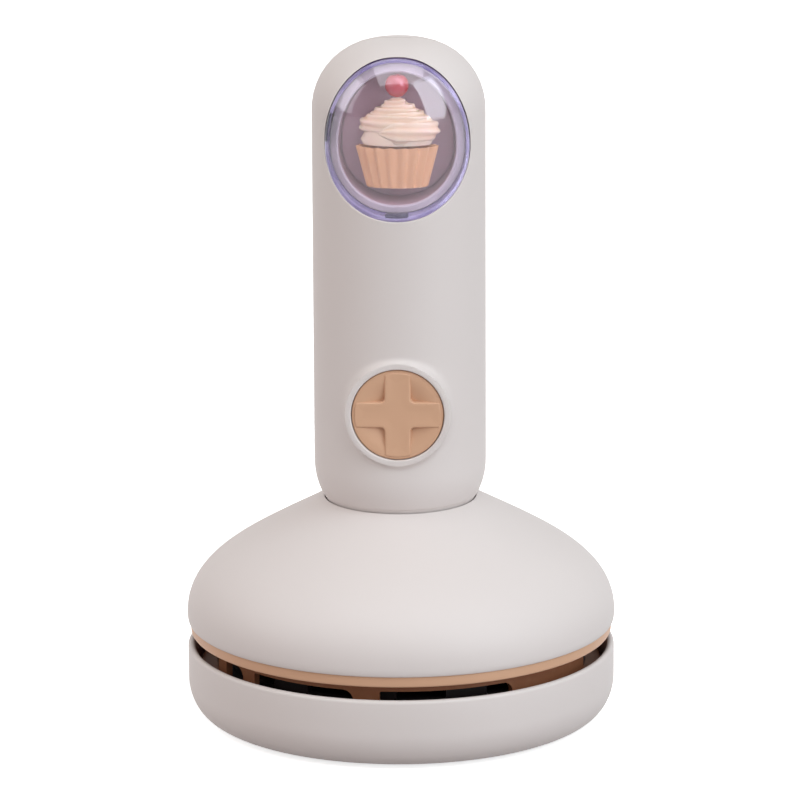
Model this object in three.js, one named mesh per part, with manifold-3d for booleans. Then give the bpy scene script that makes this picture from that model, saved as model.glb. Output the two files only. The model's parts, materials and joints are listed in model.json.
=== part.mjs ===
// Desktop mini vacuum cleaner, in millimetres, +Z up, front towards -Y.
// The origin is the middle of the desk's surface under the dust bowl.
import * as THREE from 'three';
import { mergeVertices } from 'three/addons/utils/BufferGeometryUtils.js';
import Module from 'manifold-3d';

const wasm = await Module();
wasm.setup();

// Clearances and the overrun of every cut
const fitGap = 0.3;
const seamGap = 0.3;
const overrun = 1;
const weldDistance = 0.0001;

// Round steps
const baseSteps = 36;
const handleSteps = 28;
const hiddenSteps = 24;
const smallSteps = 8;
const arcSteps = 4;
const edgeSteps = 3;
const tubeSides = 4;
const wireSides = 3;
const tubeSteps = 16;
const fullTurn = 360;
const halfTurn = 180;

// Dust bowl
const bowlRadius = 50;
const bowlWall = 1.7;
const bowlRimHeight = 17.5;
const bowlEdgeWidth = 6.3;
const bowlEdgeHeight = 8.5;
const footHeight = 0.8;
const footRadius = 3.5;
const footInset = 13;
const footCount = 4;
const dustDepth = 5.5;
const seatRibMargin = 0.8;
const seatRibWidth = 2;

// Suction inlet in the bowl's floor
const inletLength = 60;
const inletWidth = 22;
const inletDepth = 2.4;
const slotEndWidth = 6;
const slotWidth = 9;
const chimneyWall = 1.5;
const chimneyRise = 1.3;
const brushEndGap = 2;
const brushWidth = 3;
const brushHolderDepth = 1.3;
const brushDeskGap = 0.3;

// Air chassis, the tan ring between bowl and bell
const skirtGap = 1.3;
const skirtWall = 2.5;
const skirtHeight = 4.5;
const sealHeight = 1.4;
const sealGrooveDepth = 1;
const ledgeThickness = 1.2;
const ledgeWidth = 7;
const chassisStep = 2;
const chassisWall = 1.5;
const windowHeight = 6;
const slitHeight = 3.4;
const flangeThickness = 2.2;
const flangeInset = 0.8;
const flangeRound = 0.8;
const windowShares = [[-0.0372, 0.1711], [0.3478, 0.65], [0.6833, 0.7222], [0.7522, 0.9233]];

// Filter
const filterFrameWall = 5.7;
const filterFrameDepth = 1.9;
const filterRibWidth = 2;
const filterRibDepth = 0.6;
const filterTabWidth = 12;
const filterTabThickness = 1.6;
const filterTabDrop = 1.5;

// Fan
const inletPlateThickness = 1.5;
const inletHoleRadius = 11;
const diffuserGap = 2.5;
const diffuserWall = 2;
const diffuserSlots = 12;
const diffuserSlotShare = 0.5333;
const diffuserLip = 1;
const diffuserRoom = 10;
const impellerPlate = 1;
const impellerRunGap = 1;
const impellerTopGap = 0.7;
const impellerHub = 5;
const bladeCount = 11;
const bladeStart = 11;
const bladeThickness = 1.2;
const bladeSweepShare = 0.1167;
const shaftRadius = 1;
const shaftDepthInMotor = 10;

// Bell shell
const bellOverhang = 0.1;
const bellWall = 2;
const bellRise = 29.2;
const bellWaistRise = 2.9;
const bellTuck = 0.7;
const bellSeamDrop = 0.2;
const bellOutShare = 0.62;
const bellDropShares = [0.43, 0.6];
const socketDepth = 1.2;
const socketFloorThickness = 1.5;
const wireHoleRadius = 5;
const postRadius = 3.2;
const postInset = 15.1;
const postBoreDepth = 9;

// Motor
const mountPostGap = 2.8;
const mountSeatWidth = 7;
const motorMountThickness = 1.5;
const motorCollarHeight = 7.4;
const motorCollarWall = 1.5;
const motorFaceHole = 6;
const motorRadius = 12.2;
const motorEdge = 0.8;
const motorCapThickness = 1.6;
const motorCapInset = 0.6;
const terminalHeight = 2.3;
const terminalWidth = 1.6;
const terminalThickness = 0.5;
const terminalOffset = 3.5;
const terminalHeadroom = 0.7;

// Handle
const handleRadius = 20;
const handleWall = 2;
const handleRise = 108.2;
const shoulderRiseShare = 0.455;
const shoulderShare = 0.85;
const crownShare = 0.805;
const splitFromAxis = 2;
const neckPlateThickness = 4;
const neckLipThickness = 2;
const neckLipInset = 2.9;

// Display window
const lensWidthShare = 0.825;
const lensHeightShare = 0.92;
const lensProud = 0.8;
const lensThickness = 1.6;
const lensSkirtWall = 1.4;
const lensUpperPower = 2.3;
const lensLowerPower = 2.8;
const lensSteps = 28;
const lensDepth = 10.5;
const trayInset = 1.5;
const trayRim = 1;
const trayRimHeight = 1.2;
const trayThickness = 1.2;

// Ornament in the window
const ornamentDepth = 4.6;
const ornamentDropShare = 0.625;
const cupHeightShare = 0.516;
const cupFootShare = 0.412;
const cupTopShare = 0.558;
const cupPleats = 18;
const pleatShare = 0.03;
const creamHalfShare = 0.642;
const creamHeightShare = 0.565;
const creamTierShares = [[1, 0, 0.36], [0.76, 0.33, 0.34], [0.48, 0.64, 0.36]];
const cherryShare = 0.147;

// Power button
const buttonRise = 24.6;
const buttonShare = 0.53;
const buttonGap = 0.4;
const buttonFaceProud = 0.6;
const buttonRecess = 0.8;
const buttonFlange = 1.2;
const buttonFlangeThickness = 1;
const buttonTravel = 0.8;
const crossShare = 0.528;
const crossInset = 0.8;
const bezelWidth = 1.4;
const bezelProud = 0.8;
const bezelFlare = 2.2;
const bezelFlank = 4.8;
const plungerRadius = 2;

// Control board
const boardInset = 13.5;
const boardThickness = 1.5;
const boardSideMargin = 1.2;
const boardLowMargin = 1.4;
const boardAboveButton = 36.1;
const boardPostRadius = 2.6;
const boardPostSide = 8;
const boardPostGap = 2.7;
const boardPegRadius = 1.9;
const boardPegGap = 0.66;
const boardPegShare = 0.239;
const switchSize = 6;
const switchDepth = 3.5;
const switchStemRadius = 1.7;
const switchStemReach = 1;
const springRadius = 5.5;
const springLength = 5.5;
const springWire = 0.35;
const springTurns = 4;
const chipSize = 7;
const chipThickness = 1.2;
const chipAboveButton = 28;
const plugHalfWidth = 4.6;
const plugHeight = 3.7;
const plugDepth = 3.2;
const plugInset = 0.4;
const cellPlugHalfWidth = 3;
const cellPlugCentre = 4;
const cellPlugHeight = 4.3;
const cellPlugDepth = 2.6;
const cellPlugGap = 0.25;

// Battery cell
const cellWallGap = 1.85;
const cellRise = 17.7;
const cellTopToLens = 5.5;
const tabRadius = 4;
const tabThickness = 0.4;
const ribThickness = 1.6;
const ribFront = 4;
const ribShares = [0.15, 0.5, 0.85];
const stopSlotHalf = 2;
const stopSlotDepth = 5;

// Charging socket
const chargeBoardHalf = 7.5;
const chargeBoardInset = 3.8;
const chargeBoardGap = 1;
const chargeBoardThickness = 1.4;
const socketWidth = 8.94;
const socketHeight = 3.2;
const socketLength = 7.3;
const socketWall = 0.5;
const socketRecess = 1;
const socketClearance = 0.45;
const tongueHalf = 2.9;
const tongueThickness = 0.7;
const tongueShort = 1.2;

// Screws: radius of shank and head, head height
const screwRadius = 1.1;
const screwHeadRadius = 2.2;
const screwHeadHeight = 1.3;
const screwGap = 0.3;
const chassisScrewGrip = 7.5;
const mountScrewInset = 3.5;
const mountScrewCount = 3;
const mountScrewRadius = 0.9;
const mountScrewHead = 1.7;
const mountScrewGrip = 1.8;
const neckScrewInset = 3.9;
const neckScrewGrip = 3.5;
const handleScrewSide = 11;
const handleScrewRise = 8.7;
const handleBossRadius = 3;
const handleBossSeat = 3;
const handleScrewGrip = 7;
const trayScrewDrop = 14.5;
const trayPostLength = 4.6;
const trayScrewGrip = 4;
const boardScrewGrip = 5;

// Leads
const leadRadius = 0.6;

const radians = (degrees) => THREE.MathUtils.degToRad(degrees);

// A place on a circle round Z, with 0 at the front
function onCircle(radius, degrees) {
  return [radius * Math.sin(radians(degrees)), -radius * Math.cos(radians(degrees))];
}

// Heights and radii that follow
const bowlFloorTop = footHeight + bowlWall;
const bowlInside = bowlRadius - bowlWall;
const footCircle = bowlRadius - footInset;
const skirtRadius = bowlInside - skirtGap;
const skirtInside = skirtRadius - skirtWall;
const seatRibInside = skirtInside - seatRibMargin;
const skirtBottom = bowlFloorTop + dustDepth;
const windowBottom = skirtBottom + skirtHeight;
const windowTop = windowBottom + windowHeight;
const flangeBottom = bowlRimHeight + slitHeight;
const flangeTop = flangeBottom + flangeThickness;
const bellRadius = bowlRadius + bellOverhang;
const flangeRadius = bellRadius - flangeInset;
const slotLength = inletLength - 2 * slotEndWidth;
const brushLength = inletLength - 2 * brushEndGap;
const inletRoof = footHeight + inletDepth;
const inletTop = inletRoof + bowlWall;
const ledgeBottom = windowBottom - ledgeThickness;
const ledgeRadius = skirtRadius - ledgeWidth;
const chassisWallRadius = skirtRadius - chassisStep;
const chassisInside = chassisWallRadius - chassisWall;
const diffuserRadius = chassisInside - diffuserGap;
const impellerRadius = diffuserRadius - diffuserWall - diffuserRoom;
const postCircle = bellRadius - postInset;
const motorMountRadius = postCircle - postRadius - mountPostGap;
const mountScrewCircle = motorMountRadius - mountScrewInset;
const webBore = motorMountRadius - mountSeatWidth;
const fanFloor = windowBottom + inletPlateThickness;
const neckHeight = flangeTop + bellRise;
const socketFloor = neckHeight - socketDepth;
const socketUnder = socketFloor - socketFloorThickness;
const motorFace = flangeTop + motorMountThickness;
const motorCapTop = socketUnder - terminalHeadroom - terminalHeight;
const motorTop = motorCapTop - motorCapThickness;
const shoulderRound = handleRadius * shoulderShare;
const shoulderRise = handleRadius * shoulderRiseShare;
const shoulderCentre = handleRadius - shoulderRound;
const shoulderTop = neckHeight + shoulderRise;
const handleTop = neckHeight + handleRise;
const crownRound = handleRadius * crownShare;
const crownCentre = handleRadius - crownRound;
const crownBase = handleTop - crownRound;
const neckRadius = shoulderCentre + Math.sqrt(shoulderRound ** 2 - shoulderRise ** 2);
const handleInside = handleRadius - handleWall;
const neckInside = shoulderCentre + Math.sqrt((shoulderRound - handleWall) ** 2 - shoulderRise ** 2);
const neckLipRadius = neckInside - neckLipInset;
const neckScrewOffset = neckInside - neckScrewInset;
const lipBottom = socketFloor + neckPlateThickness;
const lipTop = lipBottom + neckLipThickness;
const lensHalfWidth = handleRadius * lensWidthShare;
const lensHalfHeight = handleRadius * lensHeightShare;
const lensHeight = handleTop - handleRadius;
const lensBack = -(handleRadius - lensDepth);
const trayFront = lensBack + fitGap;
const trayFloor = trayFront + trayRimHeight;
const trayBack = trayFloor + trayThickness;
const boardFace = boardInset - handleRadius;
const boardBack = boardFace + boardThickness;
const buttonRadius = handleRadius * buttonShare;
const crossWidth = buttonRadius * crossShare;
const buttonHeight = neckHeight + buttonRise;
const buttonFace = -(handleRadius + buttonFaceProud);
const buttonBack = boardFace - springLength;
const flangeEdge = buttonRadius + buttonFlange;
const boardPostAbove = flangeEdge + boardPostRadius + boardPostGap;
const boardPegCircle = flangeEdge + boardPegRadius + boardPegGap;
const [boardPegSide, boardPegDrop] = onCircle(boardPegCircle, halfTurn * boardPegShare);
const boardHalfWidth = boardPegSide + boardSideMargin;
const boardBottom = buttonHeight + boardPegDrop - boardLowMargin;
const boardTop = buttonHeight + boardAboveButton;
const bezelFront = -(handleRadius + bezelProud);
const cutFront = bezelFront - overrun;
const cellFront = boardBack + cellPlugDepth + cellPlugGap;
const cellRadius = (handleInside - cellWallGap - cellFront) / 2;
const cellBack = cellFront + cellRadius;
const cellBottom = neckHeight + cellRise;
const cellTop = lensHeight - cellTopToLens;
const trayScrewHeight = handleTop - trayScrewDrop;
const handleScrewHeight = neckHeight + handleScrewRise;
const chargeBoardTop = lipTop + chargeBoardThickness;
const motorPlugBottom = boardBottom + plugInset;
const motorPlugTop = motorPlugBottom + plugHeight;

// Finishes
function finish(color, roughness, metalness = 0) {
  return new THREE.MeshStandardMaterial({ color, roughness, metalness });
}

const shellWhite = finish(0xdcd4d1, 0.55);
const tanPlastic = finish(0xcba07f, 0.5);
const darkPlastic = finish(0x1d1b1c, 0.6);
const trayMauve = finish(0x9a8791, 0.6);
const softRubber = finish(0x3a3637, 0.85);
const brushFibre = finish(0x4a4646, 0.9);
const filterWhite = finish(0xeeeae2, 0.95);
const steel = finish(0xb9bbbd, 0.3, 1);
const blackSteel = finish(0x3b3c3e, 0.35, 1);
const boardGreen = finish(0x2f6b46, 0.5);
const cellBlue = finish(0x4f7fb3, 0.4);
const redWire = finish(0xb3322d, 0.5);
const blackWire = finish(0x222224, 0.5);
const cupApricot = finish(0xe9b27d, 0.45);
const creamWhite = finish(0xf7e6cf, 0.4);
const cherryRed = finish(0xc9343a, 0.25);
const lensLilac = new THREE.MeshStandardMaterial({
  color: 0xcfc4f2, roughness: 0.05, metalness: 0, transparent: true, opacity: 0.35,
});

// Closed meshes to solids, and solids back to meshes
function solidOf(geometry) {
  geometry.deleteAttribute('normal');
  geometry.deleteAttribute('uv');
  const merged = mergeVertices(geometry, weldDistance);
  const places = merged.attributes.position.array;
  const corners = merged.index.array;
  const kept = [];
  for (let i = 0; i < corners.length; i += 3) {
    const [a, b, c] = [corners[i], corners[i + 1], corners[i + 2]];
    if (a !== b && b !== c && c !== a) kept.push(a, b, c);
  }
  const body = new wasm.Manifold(new wasm.Mesh({
    numProp: 3,
    vertProperties: new Float32Array(places),
    triVerts: new Uint32Array(volumeOf(places, kept) < 0 ? kept.reverse() : kept),
  }));
  return body;
}

function volumeOf(places, corners) {
  const at = (n) => new THREE.Vector3().fromArray(places, 3 * n);
  let sum = 0;
  for (let i = 0; i < corners.length; i += 3) {
    sum += at(corners[i]).dot(at(corners[i + 1]).cross(at(corners[i + 2])));
  }
  return sum;
}

function geometryOf(solid) {
  const mesh = solid.getMesh();
  const geometry = new THREE.BufferGeometry();
  geometry.setAttribute('position', new THREE.BufferAttribute(new Float32Array(mesh.vertProperties), 3));
  geometry.setIndex(new THREE.BufferAttribute(new Uint32Array(mesh.triVerts), 1));
  geometry.computeVertexNormals();
  return geometry;
}

const joined = (...solids) => solids.reduce((whole, next) => whole.add(next));
const cutBy = (solid, ...cutters) => cutters.reduce((whole, next) => whole.subtract(next), solid);

// Points of an arc or ellipse, as [across, up]
function arc(across, up, radiusAcross, radiusUp, from, to, steps = arcSteps) {
  const points = [];
  for (let i = 0; i <= steps; i += 1) {
    const angle = radians(from + (to - from) * i / steps);
    points.push([across + radiusAcross * Math.cos(angle), up + radiusUp * Math.sin(angle)]);
  }
  return points;
}

// A profile of [radius, height] turned about Z
function turned(profile, steps = baseSteps) {
  const points = [...profile, profile[0]].map(([radius, height]) => new THREE.Vector2(radius, height));
  const geometry = new THREE.LatheGeometry(points, steps);
  geometry.rotateX(Math.PI / 2);
  return solidOf(geometry);
}

const disc = (radius, bottom, top, steps = smallSteps) => turned(
  [[0, bottom], [radius, bottom], [radius, top], [0, top]], steps);

const ring = (inner, outer, bottom, top, steps = baseSteps) => turned(
  [[inner, bottom], [outer, bottom], [outer, top], [inner, top]], steps);

// A disc that runs along Y from front to back
function rodY(radius, x, z, front, back, steps = smallSteps) {
  return disc(radius, front, back, steps).rotate([-90, 0, 0]).translate([x, 0, z]);
}

function block(x0, x1, y0, y1, z0, z1) {
  const geometry = new THREE.BoxGeometry(x1 - x0, y1 - y0, z1 - z0);
  geometry.translate((x0 + x1) / 2, (y0 + y1) / 2, (z0 + z1) / 2);
  return solidOf(geometry);
}

// An outline of [x, y] raised from bottom to top
function raised(outline, bottom, top) {
  const shape = new THREE.Shape(outline.map(([x, y]) => new THREE.Vector2(x, y)));
  const geometry = new THREE.ExtrudeGeometry(shape, { depth: top - bottom, bevelEnabled: false });
  geometry.translate(0, 0, bottom);
  return solidOf(geometry);
}

// An outline of [x, z] drawn out from front to back along Y
function drawnBack(outline, front, back) {
  const shape = new THREE.Shape(outline.map(([x, z]) => new THREE.Vector2(x, z)));
  const geometry = new THREE.ExtrudeGeometry(shape, { depth: back - front, bevelEnabled: false });
  geometry.rotateX(Math.PI / 2);
  geometry.translate(0, back, 0);
  return solidOf(geometry);
}

function around(count, start, place) {
  return Array.from({ length: count }, (_, n) => place(start + fullTurn * n / count, n));
}

function wire(path, radius, steps, sides) {
  const section = new THREE.Shape();
  section.absarc(0, 0, radius, 0, 2 * Math.PI);
  return solidOf(new THREE.ExtrudeGeometry(section, {
    steps, curveSegments: sides, bevelEnabled: false, extrudePath: path,
  }));
}

function lead(points) {
  const path = new THREE.CatmullRomCurve3(points.map((p) => new THREE.Vector3(...p)));
  return wire(path, leadRadius, tubeSteps, tubeSides);
}

const vacuum = new THREE.Group();

function piece(name, solid, material) {
  const mesh = new THREE.Mesh(geometryOf(solid), material);
  mesh.name = name;
  vacuum.add(mesh);
}

// Screw along Z: the head's seat is at seat, the shank goes up from it
function screwUp(x, y, seat, grip, shank = screwRadius, head = screwHeadRadius) {
  return joined(
    disc(head, seat - screwHeadHeight, seat),
    disc(shank, seat - screwHeadHeight / 2, seat + grip),
  ).translate([x, y, 0]);
}

// Screw along Y: the head lies behind seat, the shank goes forward from it
function screwForward(x, z, seat, grip) {
  return joined(
    rodY(screwHeadRadius, x, z, seat, seat + screwHeadHeight),
    rodY(screwRadius, x, z, seat - grip, seat + screwHeadHeight / 2),
  );
}

// Dust bowl
function bowlCurve(inset, steps) {
  return arc(bowlRadius - bowlEdgeWidth, footHeight + bowlEdgeHeight,
    bowlEdgeWidth - inset, bowlEdgeHeight - inset, -90, 0, steps);
}

function dustBowl() {
  const rim = arc(bowlRadius - bowlWall / 2, bowlRimHeight - bowlWall / 2, bowlWall / 2, bowlWall / 2, 0, 180);
  const shell = turned([
    [0, footHeight], ...bowlCurve(0, arcSteps + 1), ...rim, ...bowlCurve(bowlWall, edgeSteps).reverse(), [0, bowlFloorTop],
  ]);
  const envelope = turned([
    [0, footHeight], ...bowlCurve(bowlWall / 2, edgeSteps), [bowlRadius - bowlWall / 2, bowlRimHeight], [0, bowlRimHeight],
  ]);
  const ribs = around(footCount, 45, (degrees) => block(
    seatRibInside, bowlInside + bowlWall / 2, -seatRibWidth / 2, seatRibWidth / 2,
    footHeight + bowlWall / 2, skirtBottom,
  ).rotate([0, 0, degrees]).intersect(envelope));
  const housing = block(
    -inletLength / 2 - bowlWall, inletLength / 2 + bowlWall, -inletWidth / 2 - bowlWall,
    inletWidth / 2 + bowlWall, footHeight, inletTop);
  const chimney = block(
    -slotLength / 2 - chimneyWall, slotLength / 2 + chimneyWall, -slotWidth / 2 - chimneyWall,
    slotWidth / 2 + chimneyWall, inletRoof, inletTop + chimneyRise);
  const pocket = block(
    -inletLength / 2, inletLength / 2, -inletWidth / 2, inletWidth / 2, footHeight - overrun, inletRoof);
  const slot = block(
    -slotLength / 2, slotLength / 2, -slotWidth / 2, slotWidth / 2,
    footHeight - overrun, inletTop + chimneyRise + overrun);
  return cutBy(joined(shell, housing, chimney, ...ribs), pocket, slot);
}

piece('dust_bowl', dustBowl(), shellWhite);

around(footCount, 45, (degrees, n) => {
  const [x, y] = onCircle(footCircle, degrees);
  piece(`foot_pad_${n + 1}`, disc(footRadius, 0, footHeight, 2 * smallSteps).translate([x, y, 0]), softRubber);
});

for (const [side, name] of [[-1, 'brush_strip_front'], [1, 'brush_strip_back']]) {
  const middle = side * (slotWidth / 2 + inletWidth / 2) / 2;
  const holder = block(
    -brushLength / 2, brushLength / 2, middle - brushWidth / 2, middle + brushWidth / 2,
    inletRoof - brushHolderDepth, inletRoof);
  const bristles = block(
    -brushLength / 2 + brushWidth / 2, brushLength / 2 - brushWidth / 2, middle - brushWidth / 4,
    middle + brushWidth / 4, brushDeskGap, inletRoof - brushHolderDepth / 2);
  piece(name, joined(holder, bristles), brushFibre);
}

// Air chassis: skirt with seal groove, windowed wall and top flange in one moulding
function airChassis() {
  const groove = skirtRadius - sealGrooveDepth;
  const grooveMiddle = (skirtBottom + windowBottom) / 2;
  const grooveHalf = sealHeight / 2 + fitGap;
  const body = turned([
    [skirtInside, skirtBottom], [skirtRadius, skirtBottom],
    [skirtRadius, grooveMiddle - grooveHalf], [groove, grooveMiddle - grooveHalf],
    [groove, grooveMiddle + grooveHalf], [skirtRadius, grooveMiddle + grooveHalf],
    [skirtRadius, windowBottom], [chassisWallRadius, windowBottom],
    [chassisWallRadius, flangeBottom],
    ...arc(flangeRadius - flangeRound, flangeBottom + flangeRound, flangeRound, flangeRound, -90, 0, arcSteps / 2),
    [flangeRadius, flangeTop], [webBore, flangeTop], [webBore, flangeBottom],
    [chassisInside, flangeBottom], [chassisInside, windowBottom],
    [ledgeRadius, windowBottom], [ledgeRadius, ledgeBottom],
    [skirtInside, ledgeBottom],
  ]);
  const windows = [0, 1].flatMap((half) => windowShares.map(([from, to]) => {
    const edges = [halfTurn * (half + from), halfTurn * (half + to)];
    return raised([
      ...sweep(chassisWallRadius + overrun, ...edges), ...sweep(chassisInside - overrun, ...edges).reverse(),
    ], windowBottom, windowTop);
  }));
  const postHoles = around(footCount, 45, (degrees) => disc(
    screwRadius + screwGap, flangeBottom - overrun, flangeTop + overrun,
  ).translate([...onCircle(postCircle, degrees), 0]));
  const mountHoles = around(mountScrewCount, 0, (degrees) => disc(
    mountScrewRadius + screwGap, flangeBottom - overrun, flangeTop + overrun,
  ).translate([...onCircle(mountScrewCircle, degrees), 0]));
  return cutBy(body, ...windows, ...postHoles, ...mountHoles);
}

function sweep(radius, from, to) {
  const steps = Math.max(2, Math.ceil((to - from) / (fullTurn / baseSteps)));
  return Array.from({ length: steps + 1 }, (_, n) => onCircle(radius, from + (to - from) * n / steps));
}

piece('air_chassis', airChassis(), tanPlastic);

const sealMiddle = (skirtBottom + windowBottom) / 2;
piece('bowl_seal', ring(
  skirtRadius - sealGrooveDepth + fitGap, bowlInside - fitGap,
  sealMiddle - sealHeight / 2, sealMiddle + sealHeight / 2), softRubber);

// Filter: a frame that clips under the ledge, with a pad on its cross ribs
const filterRadius = skirtInside - fitGap;
const filterBottom = ledgeBottom - filterFrameDepth;

function filterFrame() {
  const inner = filterRadius - filterFrameWall;
  const rim = ring(inner, filterRadius, filterBottom, ledgeBottom, hiddenSteps);
  const bars = [0, 90].map((degrees) => block(
    -inner - filterFrameWall / 2, inner + filterFrameWall / 2, -filterRibWidth / 2, filterRibWidth / 2,
    filterBottom, filterBottom + filterRibDepth).rotate([0, 0, degrees]));
  const tab = block(
    -filterTabWidth / 2, filterTabWidth / 2, -filterTabThickness / 2, filterTabThickness / 2,
    filterBottom - filterTabDrop, filterBottom + filterRibDepth / 2);
  return joined(rim, ...bars, tab);
}

piece('filter_frame', filterFrame(), tanPlastic);
piece('filter_pad', disc(
  filterRadius - filterFrameWall - fitGap, filterBottom + filterRibDepth, ledgeBottom, hiddenSteps), filterWhite);

// Fan: inlet plate, diffuser ring and impeller
piece('fan_inlet_plate', ring(
  inletHoleRadius, chassisInside - fitGap, windowBottom, fanFloor), darkPlastic);

function diffuserRing() {
  const body = ring(diffuserRadius - diffuserWall, diffuserRadius, fanFloor, flangeBottom, hiddenSteps);
  const slotSpan = fullTurn / diffuserSlots * diffuserSlotShare;
  const slots = around(diffuserSlots, 0, (degrees) => raised([
    ...sweep(diffuserRadius + overrun, degrees, degrees + slotSpan),
    ...sweep(diffuserRadius - diffuserWall - overrun, degrees, degrees + slotSpan).reverse(),
  ], fanFloor + diffuserLip, flangeBottom - diffuserLip));
  return cutBy(body, ...slots);
}

piece('diffuser_ring', diffuserRing(), darkPlastic);

const impellerBottom = fanFloor + impellerRunGap;
const impellerTop = flangeBottom - impellerTopGap;
const bladeTop = impellerTop - impellerPlate / 2;

function bladeOutline() {
  const edge = (side) => Array.from({ length: arcSteps + 1 }, (_, n) => {
    const share = n / arcSteps;
    const radius = bladeStart + (impellerRadius - bladeThickness - bladeStart) * share;
    const lean = THREE.MathUtils.radToDeg(side * bladeThickness / 2 / radius);
    return onCircle(radius, fullTurn * bladeSweepShare * share ** 2 + lean);
  });
  return [...edge(1), ...edge(-1).reverse()];
}

function impeller() {
  const plate = disc(impellerRadius, impellerTop - impellerPlate, impellerTop, hiddenSteps);
  const hub = disc(impellerHub, impellerBottom, impellerTop, 2 * smallSteps);
  const blade = raised(bladeOutline(), impellerBottom, bladeTop);
  const blades = around(bladeCount, 0, (degrees) => blade.rotate([0, 0, degrees]));
  const bore = disc(shaftRadius + fitGap, impellerBottom - overrun, impellerTop + overrun);
  return cutBy(joined(plate, hub, ...blades), bore);
}

piece('impeller', impeller(), darkPlastic);
piece('motor_shaft', disc(shaftRadius, impellerBottom, motorFace + shaftDepthInMotor), steel);

// Motor and its mount
function motorMount() {
  const plate = ring(motorFaceHole, motorMountRadius, flangeTop, motorFace, hiddenSteps);
  const collar = ring(
    motorRadius + fitGap, motorRadius + fitGap + motorCollarWall, flangeTop + motorMountThickness / 2,
    motorFace + motorCollarHeight, hiddenSteps);
  const holes = around(mountScrewCount, 0, (degrees) => disc(
    mountScrewRadius + screwGap, flangeTop - overrun, motorFace + overrun,
  ).translate([...onCircle(mountScrewCircle, degrees), 0]));
  return cutBy(joined(plate, collar), ...holes);
}

piece('motor_mount', motorMount(), darkPlastic);

const boreRadius = shaftRadius + fitGap;
piece('motor_can', turned([
  [boreRadius, motorFace], ...arc(motorRadius - motorEdge, motorFace + motorEdge, motorEdge, motorEdge, -90, 0, edgeSteps),
  [motorRadius, motorTop], [0, motorTop],
  [0, motorFace + shaftDepthInMotor + fitGap], [boreRadius, motorFace + shaftDepthInMotor + fitGap],
], hiddenSteps), blackSteel);
piece('motor_end_cap', turned([
  [0, motorTop], [motorRadius - motorCapInset, motorTop],
  ...arc(motorRadius - motorCapInset - motorEdge, motorCapTop - motorEdge, motorEdge, motorEdge, 0, 90, edgeSteps),
  [0, motorCapTop],
], hiddenSteps), filterWhite);
for (const [side, name] of [[-1, 'motor_terminal_1'], [1, 'motor_terminal_2']]) {
  const x = side * terminalOffset;
  piece(name, block(
    x - terminalWidth / 2, x + terminalWidth / 2, -terminalThickness / 2, terminalThickness / 2,
    motorCapTop, motorCapTop + terminalHeight), steel);
}

around(mountScrewCount, 0, (degrees, n) => {
  const [x, y] = onCircle(mountScrewCircle, degrees);
  const screw = joined(
    disc(mountScrewHead, motorFace, motorFace + screwHeadHeight),
    disc(mountScrewRadius, motorFace - motorMountThickness - mountScrewGrip, motorFace + screwHeadHeight / 2));
  piece(`motor_mount_screw_${n + 1}`, screw.translate([x, y, 0]), steel);
});

around(footCount, 45, (degrees, n) => {
  const [x, y] = onCircle(postCircle, degrees);
  piece(`chassis_screw_${n + 1}`, screwUp(x, y, flangeBottom, flangeThickness + chassisScrewGrip), steel);
});

// Bell shell: a flared cone on a cubic curve, with the handle's socket at its top
const bellWaist = flangeTop + bellWaistRise;
const bellMouth = neckRadius + fitGap;
const [bellHighDrop, bellLowDrop] = bellDropShares.map((share) => (neckHeight - bellWaist) * share);
const bellCurve = new THREE.CubicBezierCurve(
  new THREE.Vector2(bellMouth, neckHeight - bellSeamDrop),
  new THREE.Vector2(bellMouth + (bellRadius - bellMouth) * bellOutShare, neckHeight - bellHighDrop),
  new THREE.Vector2(bellRadius, neckHeight - bellLowDrop),
  new THREE.Vector2(bellRadius, bellWaist),
);

function bellLine(inset, steps = arcSteps) {
  const points = [];
  for (let n = 0; n <= steps; n += 1) {
    const share = 1 - n / steps;
    const at = bellCurve.getPoint(share);
    const along = bellCurve.getTangent(share);
    points.push([at.x + along.y * inset, at.y - along.x * inset]);
  }
  return points;
}

function bellShell() {
  const foot = arc(bellRadius - bellTuck, bellWaist, bellTuck, bellWaistRise, -90, 0);
  const wall = turned([
    [bellRadius - bellWall, flangeTop], ...foot, ...bellLine(0, 2 * arcSteps).slice(1),
    ...bellLine(bellWall).reverse(),
  ]);
  const filled = turned([[0, flangeTop], [bellRadius - bellWall, flangeTop], ...bellLine(bellWall / 2), [0, neckHeight]]);
  const floor = disc(bellMouth + bellWall, socketUnder, socketFloor + bellWall / 2, baseSteps).intersect(filled);
  const posts = around(footCount, 45, (degrees) => cutBy(
    disc(postRadius, flangeTop, neckHeight),
    disc(screwRadius + screwGap, flangeTop - overrun, flangeTop + postBoreDepth),
  ).translate([...onCircle(postCircle, degrees), 0]).intersect(filled));
  const socket = disc(bellMouth, socketFloor, neckHeight + overrun, baseSteps);
  const wireHole = disc(wireHoleRadius, socketUnder - overrun, socketFloor + overrun, 2 * smallSteps);
  const screwHoles = [-1, 1].map((side) => disc(
    screwRadius + screwGap, socketUnder - overrun, socketFloor + overrun,
  ).translate([0, side * neckScrewOffset, 0]));
  return cutBy(joined(wall, floor, ...posts), socket, wireHole, ...screwHoles);
}

piece('bell_shell', bellShell(), shellWhite);

// Handle: a capsule with a narrowed neck, in a front and a back shell
function handleProfile(inset, bottom = socketFloor) {
  const neck = shoulderCentre + Math.sqrt((shoulderRound - inset) ** 2 - shoulderRise ** 2);
  const low = THREE.MathUtils.radToDeg(Math.asin(-shoulderRise / (shoulderRound - inset)));
  return [
    [0, bottom], [neck, bottom],
    ...arc(shoulderCentre, shoulderTop, shoulderRound - inset, shoulderRound - inset, low, 0),
    ...arc(crownCentre, crownBase, crownRound - inset, crownRound - inset, 0, 90, arcSteps + 1),
    [0, handleTop - inset],
  ];
}

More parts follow.
